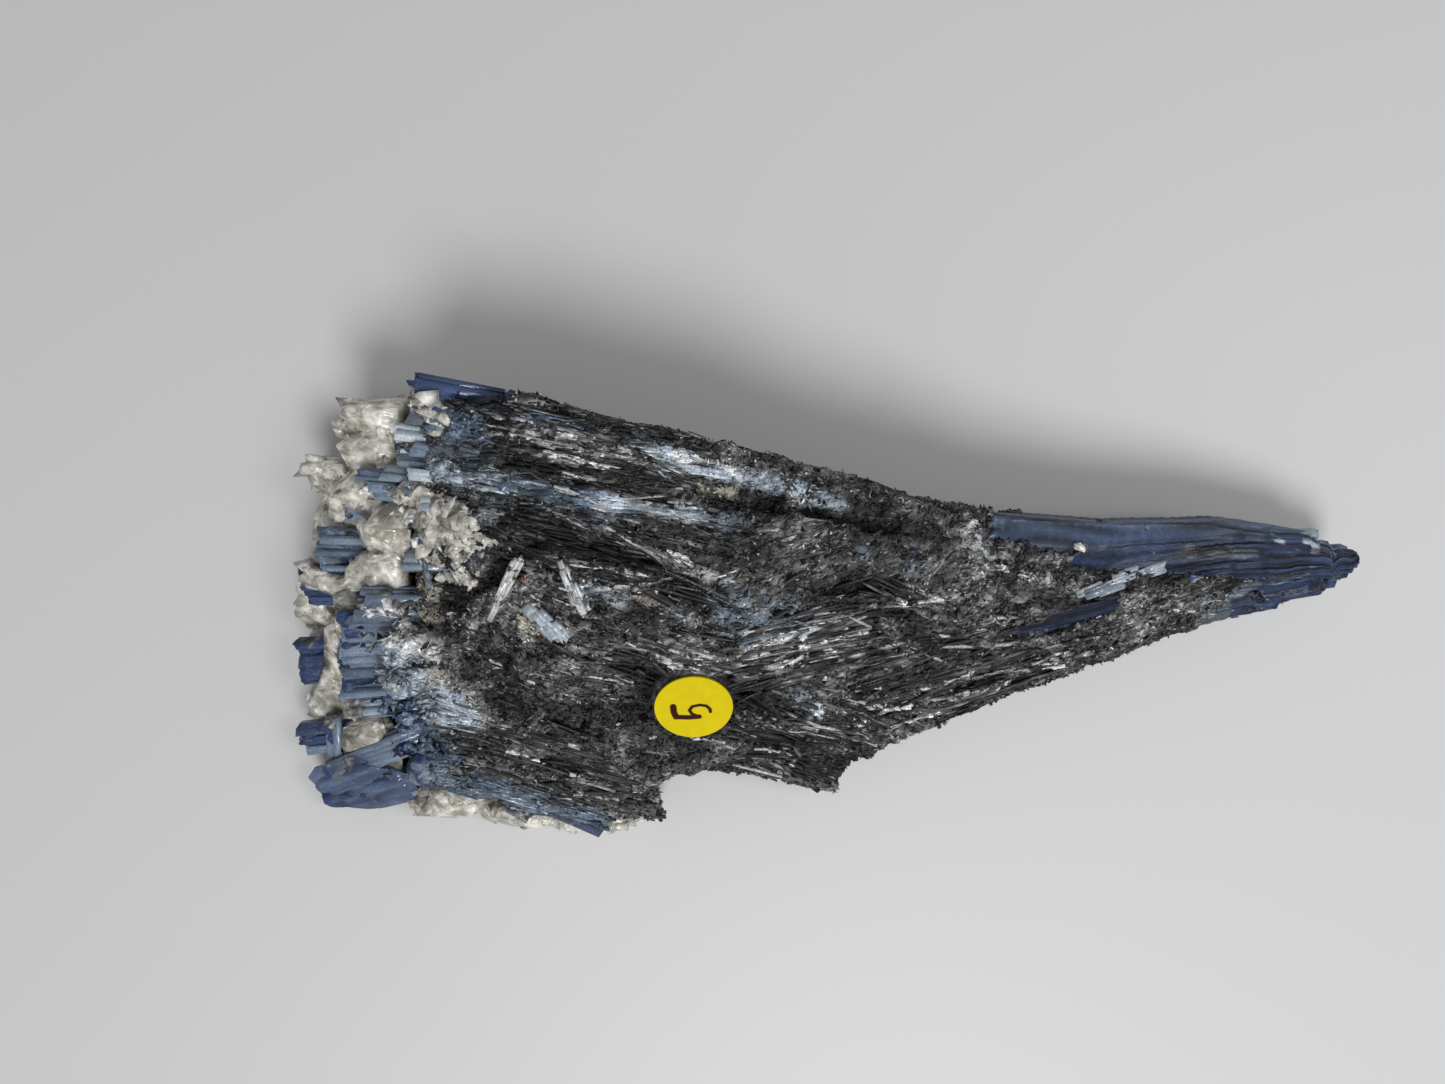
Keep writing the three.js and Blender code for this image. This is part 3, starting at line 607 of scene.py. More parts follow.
def ribbons(name, count, length, width, lift, seed, keep, steps, dark):
    """A joined piece of long thin blades that follow the crust's top. dark is the shade of the darkest."""
    dice, spot, normal, patch, along, _ = bed(count, seed, keep, 0.02, level=0.45)
    count = len(spot)
    reach = between(dice, count, *length, 1.4)
    t = np.linspace(-0.5, 0.5, steps + 1)
    bend = between(dice, count, -0.08, 0.08)
    side = unit(np.cross(normal, along) + 0.1 * dice.standard_normal((count, 3)))
    line = spot[:, None] + along[:, None] * reach[..., None] * t[None, :, None]
    line += side[:, None] * (bend * reach)[..., None] * t[None, :, None] ** 2
    wide = between(dice, count, *width, 1.5) / 2 * (0.35 + 0.65 * np.sqrt(np.cos(np.pi * t * 0.98)))
    rise = between(dice, count, *lift) * dice.uniform(0.8, 1.2, (count, steps + 1))
    lean = dice.uniform(-0.5, 0.5, (count, 1))
    cell = np.clip(((line[..., :2] - grid_low) / GRID).astype(int), 0, grid_shape - 1)
    height = heights[cell[..., 0], cell[..., 1]]
    steep = np.abs(np.diff(height, axis=1)) > 0.7 * reach / steps + 0.3
    held = (height > 2).all(axis=1) & ~steep.any(axis=1) & (np.abs(height[:, steps // 2] - spot[:, 2]) < 1.5)
    line, side, normal, spot, patch = line[held], side[held], normal[held], spot[held], patch[held]
    wide, rise, lean = wide[held], rise[held], lean[held]
    line[..., 2] = height[held] - 0.25
    line[:, 1:-1, 2] = (line[:, :-2, 2] + line[:, 1:-1, 2] + line[:, 2:, 2]) / 3
    count = len(spot)
    made = np.zeros((count, steps + 1, 4, 3))
    for corner, (out, up) in enumerate([(-1, 0), (1, 0), (1, 1), (-1, 1)]):
        shift = side[:, None] * (wide * out * (0.85 if up else 1))[..., None]
        drop = rise + lean * wide * out if up else np.full(wide.shape, -0.7)
        made[:, :, corner] = line + shift + normal[:, None] * drop[..., None]
    made = made.reshape(count, -1, 3)
    corners = (steps + 1) * 4
    faces = [[k + a, k + b, k + 4 + b, k + 4 + a]
             for k in range(0, corners - 4, 4) for a, b in ((0, 1), (1, 2), (2, 3), (3, 0))]
    faces += [[3, 2, 1, 0], list(range(corners - 4, corners))]
    ribbon = joined(name, made, np.array(faces), crust_stone, "kyanite_crust")
    places, each = line.reshape(-1, 3), np.repeat(patch, steps + 1)
    woven = weave(places, each, np.repeat(normal, steps + 1, axis=0))
    kind = mineral_kinds(spot, seed + 1)
    kind[np.isin(kind, ["rust", "beige"])] = "crust"
    kind = np.repeat(kind, steps + 1)
    tint, shine = mineral_colours(kind, places, woven, PATCHES[each, 3], seed + 2, glints=0.6)
    # Painted shade and light: the ribbons are darkened in the crust's hollows and lightened on its rises
    tint *= np.clip(0.75 + 0.7 * relief(places, each, woven), 0.15, 1.3)[:, None]
    tint = np.repeat(tint.reshape(count, steps + 1, 1, 3), 4, axis=2)
    tint *= dark + (1 - dark) * dice.random((count, 1, 1, 1)) ** 3
    # Painted highlight: on about one ribbon in six, stretches of one top edge are lightened as a glint
    edge = (dice.random((count, 1)) < 0.16) * (dice.random((count, steps + 1)) < 0.4)
    tint[:, :, 2] += 0.40 * edge[..., None]
    woven = weave(made.reshape(-1, 3), np.repeat(patch, corners), np.repeat(normal, corners, axis=0))
    paint(ribbon, tint.reshape(-1, 3), np.repeat(shine, 4), woven)


ribbons("crust_ridges", 12000, (5, 20), (0.3, 1.0), (-0.10, 0.28), 61, ridged, 7, 0.17)
ribbons("silk_ribbons", 90000, (3, 12), (0.25, 0.9), (0.0, 0.25), 62, silky, 5, 0.8)
slivers("crust_blades", 4500, (2, 6), (0.4, 1.0), (0.0, 0.22), 51, ribbed_crust, wander=0.03, level=0.45)
slivers("crust_needles", 18000, (0.8, 4), (0.2, 0.5), (0.0, 0.2), 53, ribbed_crust, wander=0.04, level=0.2)
slivers("blue_slabs", 9000, (1.5, 6), (0.8, 2.2), (0.05, 0.7), 59, blue_blocks, wander=0.03)
flakes("pale_flakes", 22000, (1.0, 3.4), (0.7, 2.0), (0.0, 0.6), 58, pale_front, wander=0.8)
flakes("crust_flakes", 45000, (0.7, 2.2), (0.4, 1.1), (-0.1, 0.45), 55, any_crust, wander=0.6)
flakes("crust_specks", 34000, (0.5, 1.4), (0.25, 0.55), (0.0, 0.40), 57, any_crust, wander=0.3)

# Thin bright ledges where the light catches freshly broken edges: from, to and half the width
GLINTS = [
    (-31.4, 14.7, -24.5, 13.2, 0.3), (-22.8, 12.7, -14, 10.4, 0.4), (-34.4, 16.9, -25.9, 14.7, 0.45),
    (-25.2, 11.1, -20.5, 9.9, 0.25), (-7.8, -1.7, -4.6, -3.6, 0.75), (-4.6, -3.6, -0.9, -6.9, 0.4),
    (-15, -16.3, -9, -19, 0.35), (-9, -19.4, -4.6, -20.6, 0.8), (-38.7, -19.8, -30, -24.6, 0.22),
    (7.3, -20.5, 18.5, -17.7, 0.5), (8.6, -18, 23.5, -14.8, 0.28), (13.1, -15.4, 21.7, -14.1, 0.25),
    (26.8, -8.5, 31.8, -11.2, 0.25), (31.3, -13.6, 39.7, -16.5, 0.28), (31.7, -9.7, 36, -9, 0.5),
    (26, -29.6, 38, -27, 0.3), (40, -26.5, 50, -24.9, 0.3), (30, -32.6, 42.4, -28.3, 0.3),
    (51, -22.5, 60.6, -21.5, 0.35), (-10.3, -7.7, -3.4, -10.8, 0.25), (-5, -33.3, 2, -34.6, 0.2),
    (4, -35.4, 12, -37.4, 0.2), (-18.8, 2.4, -10.5, 0.2, 0.18), (-18, -31, -12, -33.5, 0.2),
    (56, -21.4, 72, -17.3, 0.3), (43.5, -3.4, 50, -5.6, 0.35), (-37, -36, -24, -41.5, 0.25),
    (58, -0.7, 64.4, -1.1, 0.55), (66.6, -0.9, 69.6, -1.7, 0.4),
]


def glint_ledges():
    """Small bright slivers strewn along each ledge."""
    dice = np.random.default_rng(71)
    spot, normal = surface_spots(body_points, body_faces, 330000, dice)
    gaps = np.array([line_gap(spot[:, :2], *line) / half for *line, half in GLINTS])
    chosen = (gaps.min(axis=0) < 0.3 + 0.6 * dice.random(len(spot))) & (normal[:, 2] > 0.1)
    chosen &= rough(spot, 2.2, 72) + 0.5 * rough(spot, 0.9, 73) > -0.05
    spot, normal, ledge = spot[chosen], normal[chosen], np.array(GLINTS)[gaps.argmin(axis=0)[chosen]]
    count = len(spot)
    along = np.c_[ledge[:, 2:4] - ledge[:, :2], np.zeros(count)] + 0.12 * dice.standard_normal((count, 3))
    along = unit(along)
    along = unit(along - (along * normal).sum(1, keepdims=True) * normal)
    side = np.cross(normal, along)
    half = between(dice, count, 0.5, 2.2, 2.0) / 2
    wide = between(dice, count, 0.12, 0.34) / 2
    made = np.zeros((count, 8, 3))
    for corner, (end, edge, top) in enumerate(CORNERS):
        shift = along * half * (2 * end - 1) + side * wide * (2 * edge - 1)
        height = between(dice, count, 0.25, 0.6) if top else -0.4
        made[:, corner] = spot + shift + normal * height
    glints = joined("crust_glints", made, SLIVER_FACES, crust_stone, "kyanite_crust")
    level = dice.random((count, 1)) ** 1.3
    colour = mix([0.10, 0.10, 0.105], [0.78, 0.77, 0.76], level)
    colour[dice.random(count) < 0.09] *= np.array([1.05, 0.74, 0.78])
    woven = (made - spot[:, None]).reshape(-1, 3) + np.repeat(dice.random((count, 3)) * 40, 8, axis=0)
    paint(glints, np.repeat(colour, 8, axis=0), np.full(count * 8, 0.25), woven)


glint_ledges()

# The broken end's blades: bundles of clear blue kyanite that end square in the quartz, the crystals that
# grew across them, and a few loose blades on the crust. Each is split lengthwise into thin strips.
BLADE_POINT = np.array([150.0, -8.0, 10.0])


def crust_top(x, y):
    """The height of the crust at a place seen from above."""
    near = np.hypot(body_points[:, 0] - x, body_points[:, 1] - y) < 0.9
    return np.percentile(body_points[near, 2], 90)


# The end of each bundle, how long, wide and thick it is, and its mineral
BUNDLES = [
    (-48.6, 25, 34.4, 14, 3.4, 3.2, "deep"), (-48, 22.2, 34, 13, 3, 3, "deep"),
    (-46.6, 19.6, 33, 11, 2.6, 2.6, "blue"), (-45.6, 17.2, 32.6, 12, 3.2, 3.2, "blue"),
    (-45, 14.4, 32, 11, 3, 3, "steel"), (-44.6, 11.8, 31.6, 10, 2.6, 3, "pale"),
    (-53, 16.6, 28.4, 12, 4, 2.6, "pale"), (-60.8, 11.4, 25.4, 16, 2, 1.8, "blue"),
    (-55.6, 11.4, 28, 12, 2.6, 2, "steel"), (-58.6, 8.6, 25, 14, 2.8, 2.2, "blue"),
    (-52, 8.6, 29, 12, 3, 2.4, "steel"), (-49, 6.2, 30, 10, 2.2, 2.2, "pale"),
    (-64, 5, 21.4, 14, 2.4, 1.6, "blue"), (-69.2, 0.7, 19.4, 16, 2.8, 4, "blue"),
    (-69.6, -1.7, 18.8, 16, 2.4, 4, "blue"), (-68.8, -4, 18, 15, 2.2, 3.6, "blue"),
    (-74.6, -4.9, 15.4, 20, 2.2, 1.6, "deep"), (-74.2, -8.6, 14.4, 20, 1.6, 1.5, "deep"),
    (-73.4, -10.3, 14, 18, 1.5, 1.4, "deep"), (-61, -10.2, 24.4, 14, 4.2, 4.4, "blue"),
    (-64, -14, 21.6, 16, 4.4, 5, "blue"), (-65.2, -18, 19.8, 17, 4.4, 5.2, "blue"),
    (-65.8, -21.9, 17.8, 17, 4.2, 5.4, "blue"), (-66, -25.6, 15.8, 17, 4.2, 5, "blue"),
    (-65, -29.2, 13.8, 16, 3.8, 4.6, "steel"), (-75.6, -18, 13, 20, 1.6, 1.4, "deep"),
    (-75.2, -20.4, 12, 20, 2.2, 2.4, "deep"), (-74.8, -22.6, 11.4, 20, 2, 2.6, "deep"),
    (-75.3, -24.6, 11.4, 20, 1.6, 1.4, "deep"), (-77.2, -34, 8.6, 20, 2.2, 1.8, "deep"),
    (-76.8, -36.3, 7.6, 20, 1.5, 1.4, "deep"), (-76, -38.2, 7, 20, 1.5, 1.4, "blue"),
    (-51.2, 3.4, 28.4, 9, 1.9, 1.4, "deep"), (-50.4, 0.5, 28, 9, 1.9, 1.9, "deep"),
    (-52.6, -3.2, 27.2, 9, 3, 1.7, "steel"), (-50.4, 20.4, 31.4, 8, 2.2, 2, "steel"),
    (-53.6, 17.8, 29.6, 9, 2.6, 2.4, "pale"), (-50.8, 15.2, 31.4, 8, 2, 2, "blue"),
    (-53, 13.2, 29, 9, 1.8, 2, "steel"), (-50.6, 11, 31, 8, 1.8, 1.8, "pale"),
]

# Crystals that grew across the others: root, end, width, thick and mineral
CROSSING = [
    [(-71, -41.5, 8), (-46, -31, 15.5), 4.6, 3.4, "blue"],
    [(-69.4, -31, 12.4), (-70.4, -42, 7), 2.7, 2.2, "blue"],
    [(-57, -41, 9), (-43, -45, 9), 2.8, 3.4, "deep"],
    [(-43, -40.5, 12), (-35, -49.6, 6.4), 4, 2.6, "deep"],
    [(-39, -43.5, 10), (-21.8, -52.2, 5.4), 4, 2.8, "deep"],
]

# Loose blades that lie askew on the crust: two ends seen from above, width, thick, lift and mineral
ASKEW = [
    [(-37.5, -12.1), (-32, -2.4), 1.9, 1.2, 0.4, "silver"],
    [(-25, -3.4), (-22.3, -10.8), 2.1, 1.2, 0.4, "silver"],
    [(-31.2, -9.8), (-25.6, -16), 2.8, 1.4, 0.4, "pale"],
    [(-50.2, -1.4), (-46.8, -9.7), 1.4, 1.2, 0.4, "steel"],
    [(60.6, -9.2), (75, -3.7), 2.6, 1.6, 1.3, "pale"],
]

blue_stone = stone_material("blue_stone", fine=0.55, shine=0.12, clear=0.35, index=1.72)


def strips(grown, root, tip, width, thick, face, kind, dice, ragged=1.6, taper=0.9, dim=1.0):
    """Adds the strips of one blade from root to tip to grown, each as its corners and their colours."""
    root, tip = np.array(root, float), np.array(tip, float)
    along = unit(tip - root)
    side = unit(np.cross(face, along))
    up = np.cross(along, side)
    wide, deep = max(2, round(width / 1.25)), max(1, round(thick / 1.7))
    across = np.linspace(-0.5, 0.5, wide + 1)
    across[1:-1] += dice.uniform(-0.3, 0.3, wide - 1) / wide
    length = np.linalg.norm(tip - root)
    base, slant = dice.random(), dice.uniform(-0.5, 0.5)
    dull, fair = [np.array(shade) for shade in MINERALS[kind][:2]]
    for i in range(wide):
        for j in range(deep):
            edges = (across[i] - 0.04) * width, (across[i + 1] + 0.04) * width
            step = dice.uniform(-0.08, 0.08) if dice.random() < 0.7 else dice.uniform(-0.5, 0.4)
            rises = (j / deep - 0.5) * thick - 0.05, ((j + 1) / deep - 0.5) * thick + step
            reach = length - ragged * dice.random() ** 2.5 * (0.5 + j / deep)
            cut = dice.uniform(-0.25, 0.25, 4)
            box = []
            for end, edge, top in CORNERS:
                out, rise = edges[edge], rises[top]
                far = reach + cut[edge + 2 * top] + slant * out if end else 0.0
                lean = 1.0 if end else taper
                box.append(root + along * far + side * out * lean + up * rise * lean)
            level = np.clip(0.2 + 0.5 * base + 0.4 * dice.random(), 0, 1)
            shade = dull * (1 - level) + fair * level * 1.2
            grown.append([box, [(shade * (1 + 0.45 * end) + 0.015 * end) * dim for end, _, _ in CORNERS]])


# The big dark crystal in the front corner of the broken end
CORNER_CRYSTAL = [
    (-75.9, -43.2, 7), (-74.6, -46.4, 3.2), (-72.8, -49.2, 5), (-64.6, -49.8, 5), (-55, -47, 6.6),
    (-56, -41.6, 11.3), (-68.6, -39.2, 11), (-73.8, -40.8, 9.2), (-70, -47, 0.8), (-58, -46, 0.8),
    (-56, -41, 1),
]


def hull_of(corners):
    """The closed flat-faced shape around some corners."""
    hull = bmesh.new()
    for corner in corners:
        hull.verts.new(corner)
    bmesh.ops.convex_hull(hull, input=hull.verts)
    bmesh.ops.delete(hull, geom=[v for v in hull.verts if not v.link_faces], context="VERTS")
    return hull


def corner_crystal():
    """One faceted crystal, its faces cut into low steps along its length."""
    hull = hull_of(CORNER_CRYSTAL)
    for _ in range(5):
        long = [edge for edge in hull.edges if edge.calc_length() > 0.55]
        bmesh.ops.subdivide_edges(hull, edges=long, cuts=1)
        bmesh.ops.triangulate(hull, faces=hull.faces)
    hull.normal_update()
    hull.verts.index_update()
    spots, normals = np.array([(v.co, v.normal) for v in hull.verts]).transpose(1, 0, 2)
    faces = [[v.index for v in face.verts] for face in hull.faces]
    hull.free()
    x, y, z = spots.T
    turned = np.stack([x + 0.3 * y, y - 0.12 * x - z * 0.8, 0 * x], axis=1)
    none = np.zeros(len(spots), np.int64)
    high = 0.30 * rows(turned, none, 2.6, 12, 83) + 0.12 * rows(turned, none, 0.9, 7, 85)
    spots_out = on_table(spots + normals * high[:, None])
    crystal = piece("corner_crystal", spots_out, faces, blue_stone, "kyanite_blue")
    fibres = rough(turned, [7, 0.5, 1], 86) + 0.6 * rough(spots, 4, 87)
    level = np.clip(0.45 + 0.4 * fibres, 0, 1)[:, None]
    colour = mix([0.012, 0.024, 0.075], [0.11, 0.17, 0.31], level)
    paint(crystal, colour, np.full(len(spots), 0.3), turned)


def blade_bundles():
    """Every bundle, crossing crystal and loose blade, as one piece."""
    dice = np.random.default_rng(81)
    grown = []
    for *tip, length, width, thick, kind in BUNDLES:
        inward = unit(BLADE_POINT - tip)
        face = unit([0, dice.random() - 0.5, 1])
        strips(grown, tip + inward * length, tip, width, thick, face, kind, dice)
    for root, tip, width, thick, kind in CROSSING:
        strips(grown, root, tip, width, thick, unit([0.1, -0.35, 1]), kind, dice, 2.2)
    for start, end, width, thick, lift, kind in ASKEW:
        start, end = [np.array([*place, crust_top(*place) + lift]) for place in (start, end)]
        for k in range(14):
            near, far = [start + (end - start) * t for t in (k / 16, min(k / 16 + 0.3, 1))]
            shift = np.array([*dice.uniform(-0.3, 0.3, 2) * width, dice.uniform(-0.45, 0.1)])
            face = unit([0, -0.2, 1] + 0.15 * dice.standard_normal(3))
            thinner = width * dice.uniform(0.25, 0.6)
            strips(grown, near + shift, far + shift, thinner, thick, face, kind, dice, 1.0, dim=0.8)
    made, tints = np.array(grown).transpose(1, 0, 2, 3)
    count = len(made)
    bundle = joined("root_blades", made, SLIVER_FACES, blue_stone, "kyanite_blue")
    woven = np.zeros(made.shape)
    woven[..., 0] = np.linalg.norm(made - made[:, :1], axis=2)
    for axis in (1, 2):
        woven[..., axis] = 0.8 * np.array(CORNERS)[:, axis] + dice.random((count, 1)) * 50
    paint(bundle, tints.reshape(-1, 3), np.repeat(dice.uniform(0.2, 0.4, count), 8), woven.reshape(-1, 3))


blade_bundles()
corner_crystal()

# The clear blue crystal at the thin end, which the crust covers only in part. It is one long fluted prism
# that narrows to the point, with shallow steps where its outer blades end.
TIP_START, TIP_STEP, TIP_SPOKES = 38.0, 0.6, 400

# The blades that the point ends in: root, end, width, thick and mineral
TIP_BLADES = [
    [(84, -5.5, 13), (114, -3.4, 9.4), 4.6, 5, "deep"],
    [(84, -8.6, 10), (111.6, -5.6, 7.6), 4, 5, "deep"],
    [(80, -1.2, 16), (106, 0.3, 12.6), 3.6, 4, "steel"],
    [(86, -2.6, 15.2), (110, -1.4, 10.8), 3, 3.4, "deep"],
    [(88, -9.8, 8), (107.5, -7.2, 6), 2.6, 4, "blue"],
]


def corners_and_faces(mesh):
    """A CAD solid's merged corners in this script's millimetres, and its triangles."""
    corners = np.array([corner.co for corner in mesh.vertices]) * 1000 - SHIFT
    return corners, np.array([list(face.vertices) for face in mesh.polygons])


def tip_crystal():
    """A ring of spokes at each step finds the CAD skin, which is then calmed and cut into flutes."""
    corners, triangles = corners_and_faces(merged("kyanite_spray"))
    skin = BVHTree.FromPolygons(corners.tolist(), triangles.tolist())
    turn = np.arange(TIP_SPOKES) * 2 * math.pi / TIP_SPOKES
    way = np.stack([0 * turn, np.cos(turn), np.sin(turn)], axis=1)
    stops = np.arange(TIP_START, corners[:, 0].max() - 0.25, TIP_STEP)
    reach, middles = np.zeros((len(stops), TIP_SPOKES)), np.zeros((len(stops), 3))
    for k, x in enumerate(stops):
        near = skin_points[np.abs(skin_points[:, 0] - x) < 0.6]
        if len(near) > 6:
            middle = (near.min(axis=0) + near.max(axis=0)) / 2
        middles[k] = [x, middle[1], middle[2]]
        reach[k] = [skin.ray_cast(Vector(middles[k]), Vector(each))[3] or 0.5 for each in way]
    calm = int(np.searchsorted(stops, 98))
    for _ in range(14):
        reach[1:calm] = (reach[: calm - 1] + 2 * reach[1:calm] + reach[2 : calm + 1]) / 4
    for _ in range(2):
        reach = (np.roll(reach, 1, axis=1) + 2 * reach + np.roll(reach, -1, axis=1)) / 4
    skin_at = (middles[:, None] + reach[..., None] * way).reshape(-1, 3)
    far, angle = np.repeat(stops, TIP_SPOKES), np.tile(turn, len(stops))
    fluted = np.stack([far, angle * 9.0 + 0.5 * rough(skin_at, 15, 92), 0 * far], axis=1)
    flat_patch = np.zeros(len(far), np.int64)
    high = 0.16 * rows(fluted, flat_patch, 2.6, 40, 93) + 0.11 * rows(fluted, flat_patch, 1.05, 26, 95)
    high += 0.07 * rows(fluted, flat_patch, 0.5, 16, 97)
    high *= 0.5 + 0.9 * np.clip((far - 60) / 40, 0, 1)
    kind = mineral_kinds(skin_at, 98, mixed=0.0)
    open_skin = bare(kind, skin_at)
    high = np.where(open_skin, high - 0.25 + 0.4 * np.clip((far - 80) / 15, 0, 1), -1.3)
    reach = np.maximum(reach + high.reshape(reach.shape), 0.1)
    verts = (middles[:, None] + reach[..., None] * way).reshape(-1, 3)
    ring = np.arange(TIP_SPOKES)
    ring = np.stack([ring, (ring + 1) % TIP_SPOKES])
    here = ring + np.arange(len(stops) - 1)[:, None, None] * TIP_SPOKES
    ahead = here + TIP_SPOKES
    quads = np.stack([here[:, 0], here[:, 1], ahead[:, 1], ahead[:, 0]], axis=-1).reshape(-1, 4)
    caps = [np.stack([ring[1], ring[0], 0 * ring[0] + len(verts)], axis=1),
            np.stack([ahead[-1, 0], ahead[-1, 1], 0 * ring[0] + len(verts) + 1], axis=1)]
    faces = np.vstack([quads[:, [0, 1, 2]], quads[:, [0, 2, 3]]] + caps)
    ends = np.array([verts[:TIP_SPOKES].mean(axis=0), verts[-TIP_SPOKES:].mean(axis=0)])
    crystal = piece("tip_crystal", on_table(np.vstack([verts, ends])), faces, tip_stone, "kyanite_blue")
    crystal.data.shade_smooth()
    colour, gloss = mineral_colours(kind, skin_at, fluted, np.ones(len(far)), 99, glints=0.0)
    fibres = rough(fluted, [9, 0.35, 1], 94)[:, None]
    broad = rough(fluted, [14, 1.3, 1], 96)[:, None]
    colour = colour * (0.36 + 0.42 * fibres + 0.28 * broad) + 0.008 * np.clip(fibres, 0, 1)
    # Painted sheen: a pale band painted along the upper edge of the bare crystal, fading towards the point
    painted_sheen = 0.6 * np.exp(-(((angle - 0.42) / 0.3) ** 2)) * np.clip((118 - far) / 25, 0.25, 1) * open_skin
    painted_sheen = painted_sheen[:, None] * (0.75 + 0.6 * fibres)
    colour = mix(np.maximum(colour, 0.003), [0.15, 0.21, 0.31], painted_sheen)
    colour *= (1 + 0.6 * np.clip((far - 86) / 16, 0, 1))[:, None]
    colour, gloss, fluted = [np.concatenate([each, each[[0, -1]]]) for each in (colour, gloss, fluted)]
    paint(crystal, colour, gloss * 0.5 + 0.2, fluted)


def tip_blades():
    dice = np.random.default_rng(100)
    grown = []
    for root, tip, width, thick, kind in TIP_BLADES:
        face = unit([0, -0.25 + 0.1 * dice.standard_normal(), 1])
        strips(grown, root, tip, width, thick, face, kind, dice, 4.0, taper=1.0, dim=0.8)
    made, tints = np.array(grown).transpose(1, 0, 2, 3)
    blades = joined("tip_blades", made, SLIVER_FACES, tip_stone, "kyanite_blue")
    paint(blades, tints.reshape(-1, 3), np.full(len(made) * 8, 0.35), made.reshape(-1, 3))


tip_stone = stone_material("tip_stone", fine=0.45, index=1.42)
tip_crystal()
tip_blades()

# The quartz: glassy, cloudy, faintly beige lumps between and around the broken blade ends. The lumps are a
# merged copy of the CAD solid, and small flat-faced crystals are grown over a remade skin of it.


def quartz_material():
    """Clear glassy stone with pale veils and cracks in it."""
    made, tree, shader = new_material("quartz")
    place = node(tree, "TexCoord", {}, "Object")
    cracks = node(tree, "TexVoronoi", {"Vector": place, "Scale": 620}, "Distance", feature="DISTANCE_TO_EDGE")
    veils = node(tree, "TexNoise", {"Vector": place, "Scale": 420, "Detail": 6}, "Fac")
    breaks = node(tree, "TexNoise", {"Vector": place, "Scale": 1300, "Detail": 4}, "Fac")
    cloud = node(tree, "ValToRGB", {"Fac": veils})
    dim, bright = cloud.node.color_ramp.elements
    dim.position, dim.color = 0.35, (0.60, 0.56, 0.47, 1)
    bright.position, bright.color = 0.68, (0.87, 0.85, 0.78, 1)
    line = spread(tree, cracks, 0, 0.09, 0.45, 0)
    facets = node(tree, "Math", {0: breaks, 1: 0.25, 2: cracks}, operation="MULTIPLY_ADD")
    fill(tree, shader, {
        "IOR": 1.54, "Roughness": 0.14, "Subsurface Weight": 0.22, "Subsurface Scale": 0.003,
        "Subsurface Radius": (1.0, 0.9, 0.75),
        "Transmission Weight": spread(tree, veils, 0.4, 0.65, 0.6, 0.12),
        "Base Color": node(tree, "Mix", {0: line, 6: cloud, 7: (0.8, 0.79, 0.75, 1)}, 2, data_type="RGBA"),
        "Normal": node(tree, "Bump", {"Strength": 0.8, "Distance": 0.0006, "Height": facets}),
    })
    return made


quartz = quartz_material()
lump_points, _, lump_faces = remade("quartz_matrix", 1.0)
lumps = piece("quartz_lumps", *corners_and_faces(merged("quartz_matrix")), quartz, "quartz")
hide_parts("quartz_matrix")


def quartz_chips(name, spot, normal, least, most, seed):
    """Broken flat-faced bits of quartz, half sunk at the spots."""
    dice = np.random.default_rng(seed)
    verts, faces = [], []
    for middle, out in zip(spot, normal):
        size = least + (most - least) * dice.random() ** 1.8
        corners = unit(dice.standard_normal((9, 3))) * dice.uniform(0.8, 1.1, (9, 1))
        corners *= np.array([1.3, 1.05, 0.55]) * size
        lean = unit([dice.standard_normal(3), dice.standard_normal(3), out + 0.35 * dice.standard_normal(3)])
        turned = corners @ np.linalg.qr(lean.T[:, ::-1])[0].T[::-1]
        chip = hull_of(turned + middle - out * size * 0.5)
        chip.verts.index_update()
        start = len(verts)
        verts += [tuple(v.co) for v in chip.verts]
        faces += [tuple(start + v.index for v in f.verts) for f in chip.faces]
        chip.free()
    return piece(name, on_table(np.array(verts)), np.array(faces), quartz, "quartz")


chip_dice = np.random.default_rng(63)
quartz_chips("quartz_chips", *surface_spots(lump_points, lump_faces, 420, chip_dice), 1.6, 3.8, 64)
quartz_chips("quartz_grains", *surface_spots(lump_points, lump_faces, 700, chip_dice), 0.7, 1.8, 65)

# The quartz that reaches over the crust's edge
edge_spot, edge_normal = surface_spots(body_points, body_faces, 90000, chip_dice)
over = np.flatnonzero(in_quartz(edge_spot) & (edge_normal[:, 2] > 0.1))[:640]
quartz_chips("quartz_edge", edge_spot[over] + 0.35 * edge_normal[over], edge_normal[over], 1.1, 3.0, 68)

# The sticker: a round yellow paper dot with a handwritten number, stuck flat on the front slope. The paper is
# cut as a fine-meshed disc, and the number is ink in the paper's colour, not raised.
STICKER_FACE = unit([0.037, -0.536, 0.843])
STICKER_RADIUS, STICKER_TOP, STICKER_UNDERSIDE = 6.5, 0.12, -0.25
RINGS, SPOKES = 64, 240
YELLOW, INK = np.array([0.565, 0.45, 0.0]), (0.030, 0.004, 0.002)

# The pen's strokes on the sticker: half the width of the line, and the places it goes through
STROKES = [
    (0.6, [(-3.4, 0.3), (-3.3, -0.9), (-2.9, -2)]), (0.54, [(-2.9, -2), (-0.8, -2.1), (0.9, -1.95)]),
    (0.34, [(0.9, -1.9), (-0.3, -1.3), (-0.7, -0.5), (-0.2, 0.3),
            (1, 0.6), (2.1, 0.4), (2.7, -0.3), (2.8, -0.9)]),
]


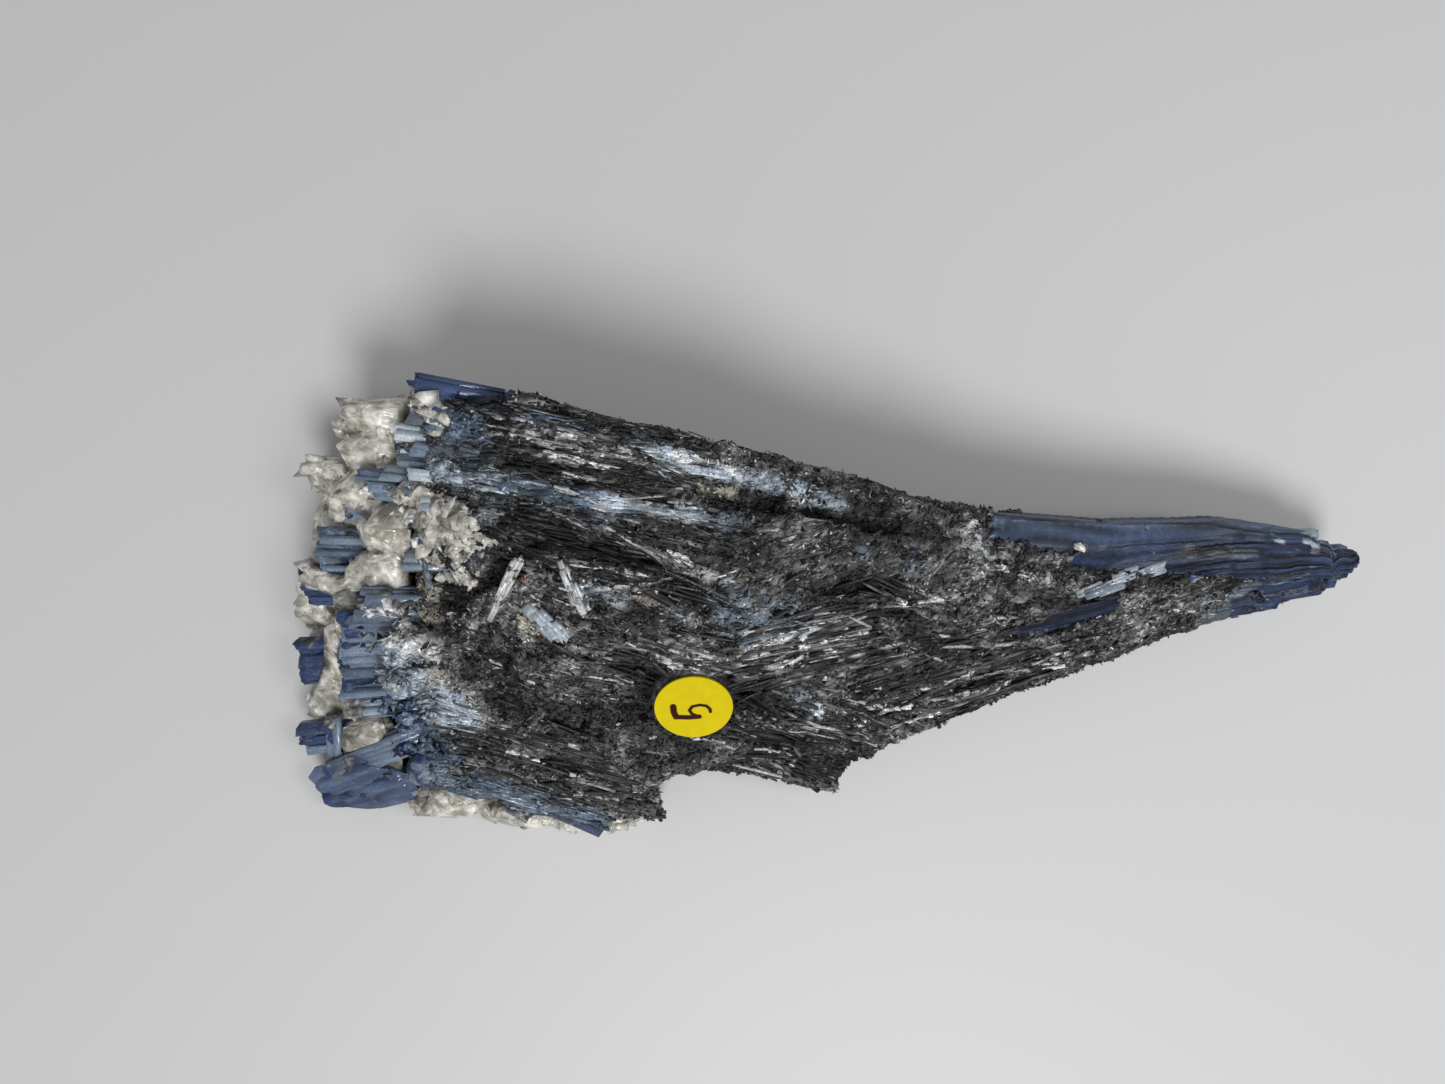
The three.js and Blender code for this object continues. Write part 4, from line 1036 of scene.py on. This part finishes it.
def paper_dot():
    """The disc is spun from one radius, given its thickness and laid on the slope."""
    disc = bmesh.new()
    radius = [disc.verts.new((STICKER_RADIUS * ring / RINGS, 0, STICKER_TOP)) for ring in range(RINGS + 1)]
    for inner, outer in zip(radius, radius[1:]):
        disc.edges.new((inner, outer))
    whole = {"cent": (0, 0, 0), "axis": (0, 0, 1), "angle": 2 * math.pi, "steps": SPOKES, "use_merge": True}
    bmesh.ops.spin(disc, geom=disc.verts[:] + disc.edges[:], **whole)
    bmesh.ops.remove_doubles(disc, verts=disc.verts, dist=0.0005)
    under = bmesh.ops.extrude_face_region(disc, geom=disc.faces[:])["geom"]
    for corner in [part for part in under if isinstance(part, bmesh.types.BMVert)]:
        corner.co.z = STICKER_UNDERSIDE
    bmesh.ops.recalc_face_normals(disc, faces=disc.faces)
    bmesh.ops.triangulate(disc, faces=disc.faces)
    disc.verts.index_update()
    flat = np.array([corner.co for corner in disc.verts])
    faces = [[corner.index for corner in face.verts] for face in disc.faces]
    disc.free()
    right = unit(np.cross([0, 1, 0], STICKER_FACE))
    sheet = STICKER_MIDDLE + flat[:, :2] @ np.array([right, np.cross(STICKER_FACE, right)])
    dot = piece("paper_dot", sheet + flat[:, 2:] * STICKER_FACE, faces, sticker_paper, "sticker_paper")
    on_top = flat[:, 2] > 0
    ink = np.zeros(len(flat))
    for half, stroke in STROKES:
        gap = np.min([line_gap(flat[:, :2], *start, *end) for start, end in zip(stroke, stroke[1:])], axis=0)
        ink = np.maximum(ink, np.clip((half - gap) / 0.08, 0, 1) * on_top)
    yellow = YELLOW * ((0.95 + 0.05 * rough(sheet, 1.2, 71)) * np.where(on_top, 1, 0.8))[:, None]
    dot.data.shade_flat()
    paint(dot, mix(yellow, INK, ink[:, None]), np.where(on_top, 0.42 - 0.12 * ink, 0.5), flat * [1, 1, 0])
    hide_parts("number_sticker")


sticker_paper = stone_material("sticker_paper", fine=0.06, index=1.25)
paper_dot()

# The table: a plain pale top that the specimen lies on. It is one flat sheet in an even, slightly satin grey,
# wide enough that its edges are never seen.
table_material, table_tree, table_shader = new_material("table")
fill(table_tree, table_shader, {"Base Color": (0.5, 0.5, 0.5, 1), "Roughness": 0.55})
bpy.ops.mesh.primitive_plane_add(size=4, location=(0, 0, 0))
floor = bpy.context.object
floor.name = "floor"
floor.data.materials.append(table_material)

# The light: one bright soft window from the front, a dimmer lamp from the right and a dim even room. Both
# lights are round, so that the shadow's edge is soft.
LIGHTS = [("window", (0.10, -0.55, 0.85), 0.42, 8), ("lamp", (0.55, 0.05, 0.85), 0.35, 2.5)]
for name, place, size, power in LIGHTS:
    light = bpy.data.lights.new(name, "AREA")
    light.shape = "DISK"
    light.size, light.energy = size, power
    holder = bpy.data.objects.new(name, light)
    holder.location = place
    holder.rotation_mode = "QUATERNION"
    holder.rotation_quaternion = (-Vector(place)).to_track_quat("-Z", "Y")
    bpy.context.scene.collection.objects.link(holder)

world = bpy.data.worlds.new("room")
world.use_nodes = True
background = world.node_tree.nodes["Background"]
fill(world.node_tree, background, {"Color": (0.97, 0.98, 1.0, 1), "Strength": 0.34})
bpy.context.scene.world = world

# The camera: straight above the table, as in the photograph. Its lens is given by how many of the picture's
# pixels span a place as wide as it is far, and its height by the size of the sticker.
PHOTO_WIDTH, PIXELS_AT_ONE, CAMERA_HEIGHT = 1445, 1085, 0.206
lens = bpy.data.cameras.new("camera")
lens.sensor_width = 36
lens.lens = lens.sensor_width * PIXELS_AT_ONE / PHOTO_WIDTH
lens.dof.use_dof = False
lens.clip_start = 0.01
camera = bpy.data.objects.new("camera", lens)
camera.location = (SHIFT[0] / 1000, SHIFT[1] / 1000, CAMERA_HEIGHT)
bpy.context.scene.collection.objects.link(camera)
bpy.context.scene.camera = camera
bpy.context.scene.view_settings.view_transform = "Standard"
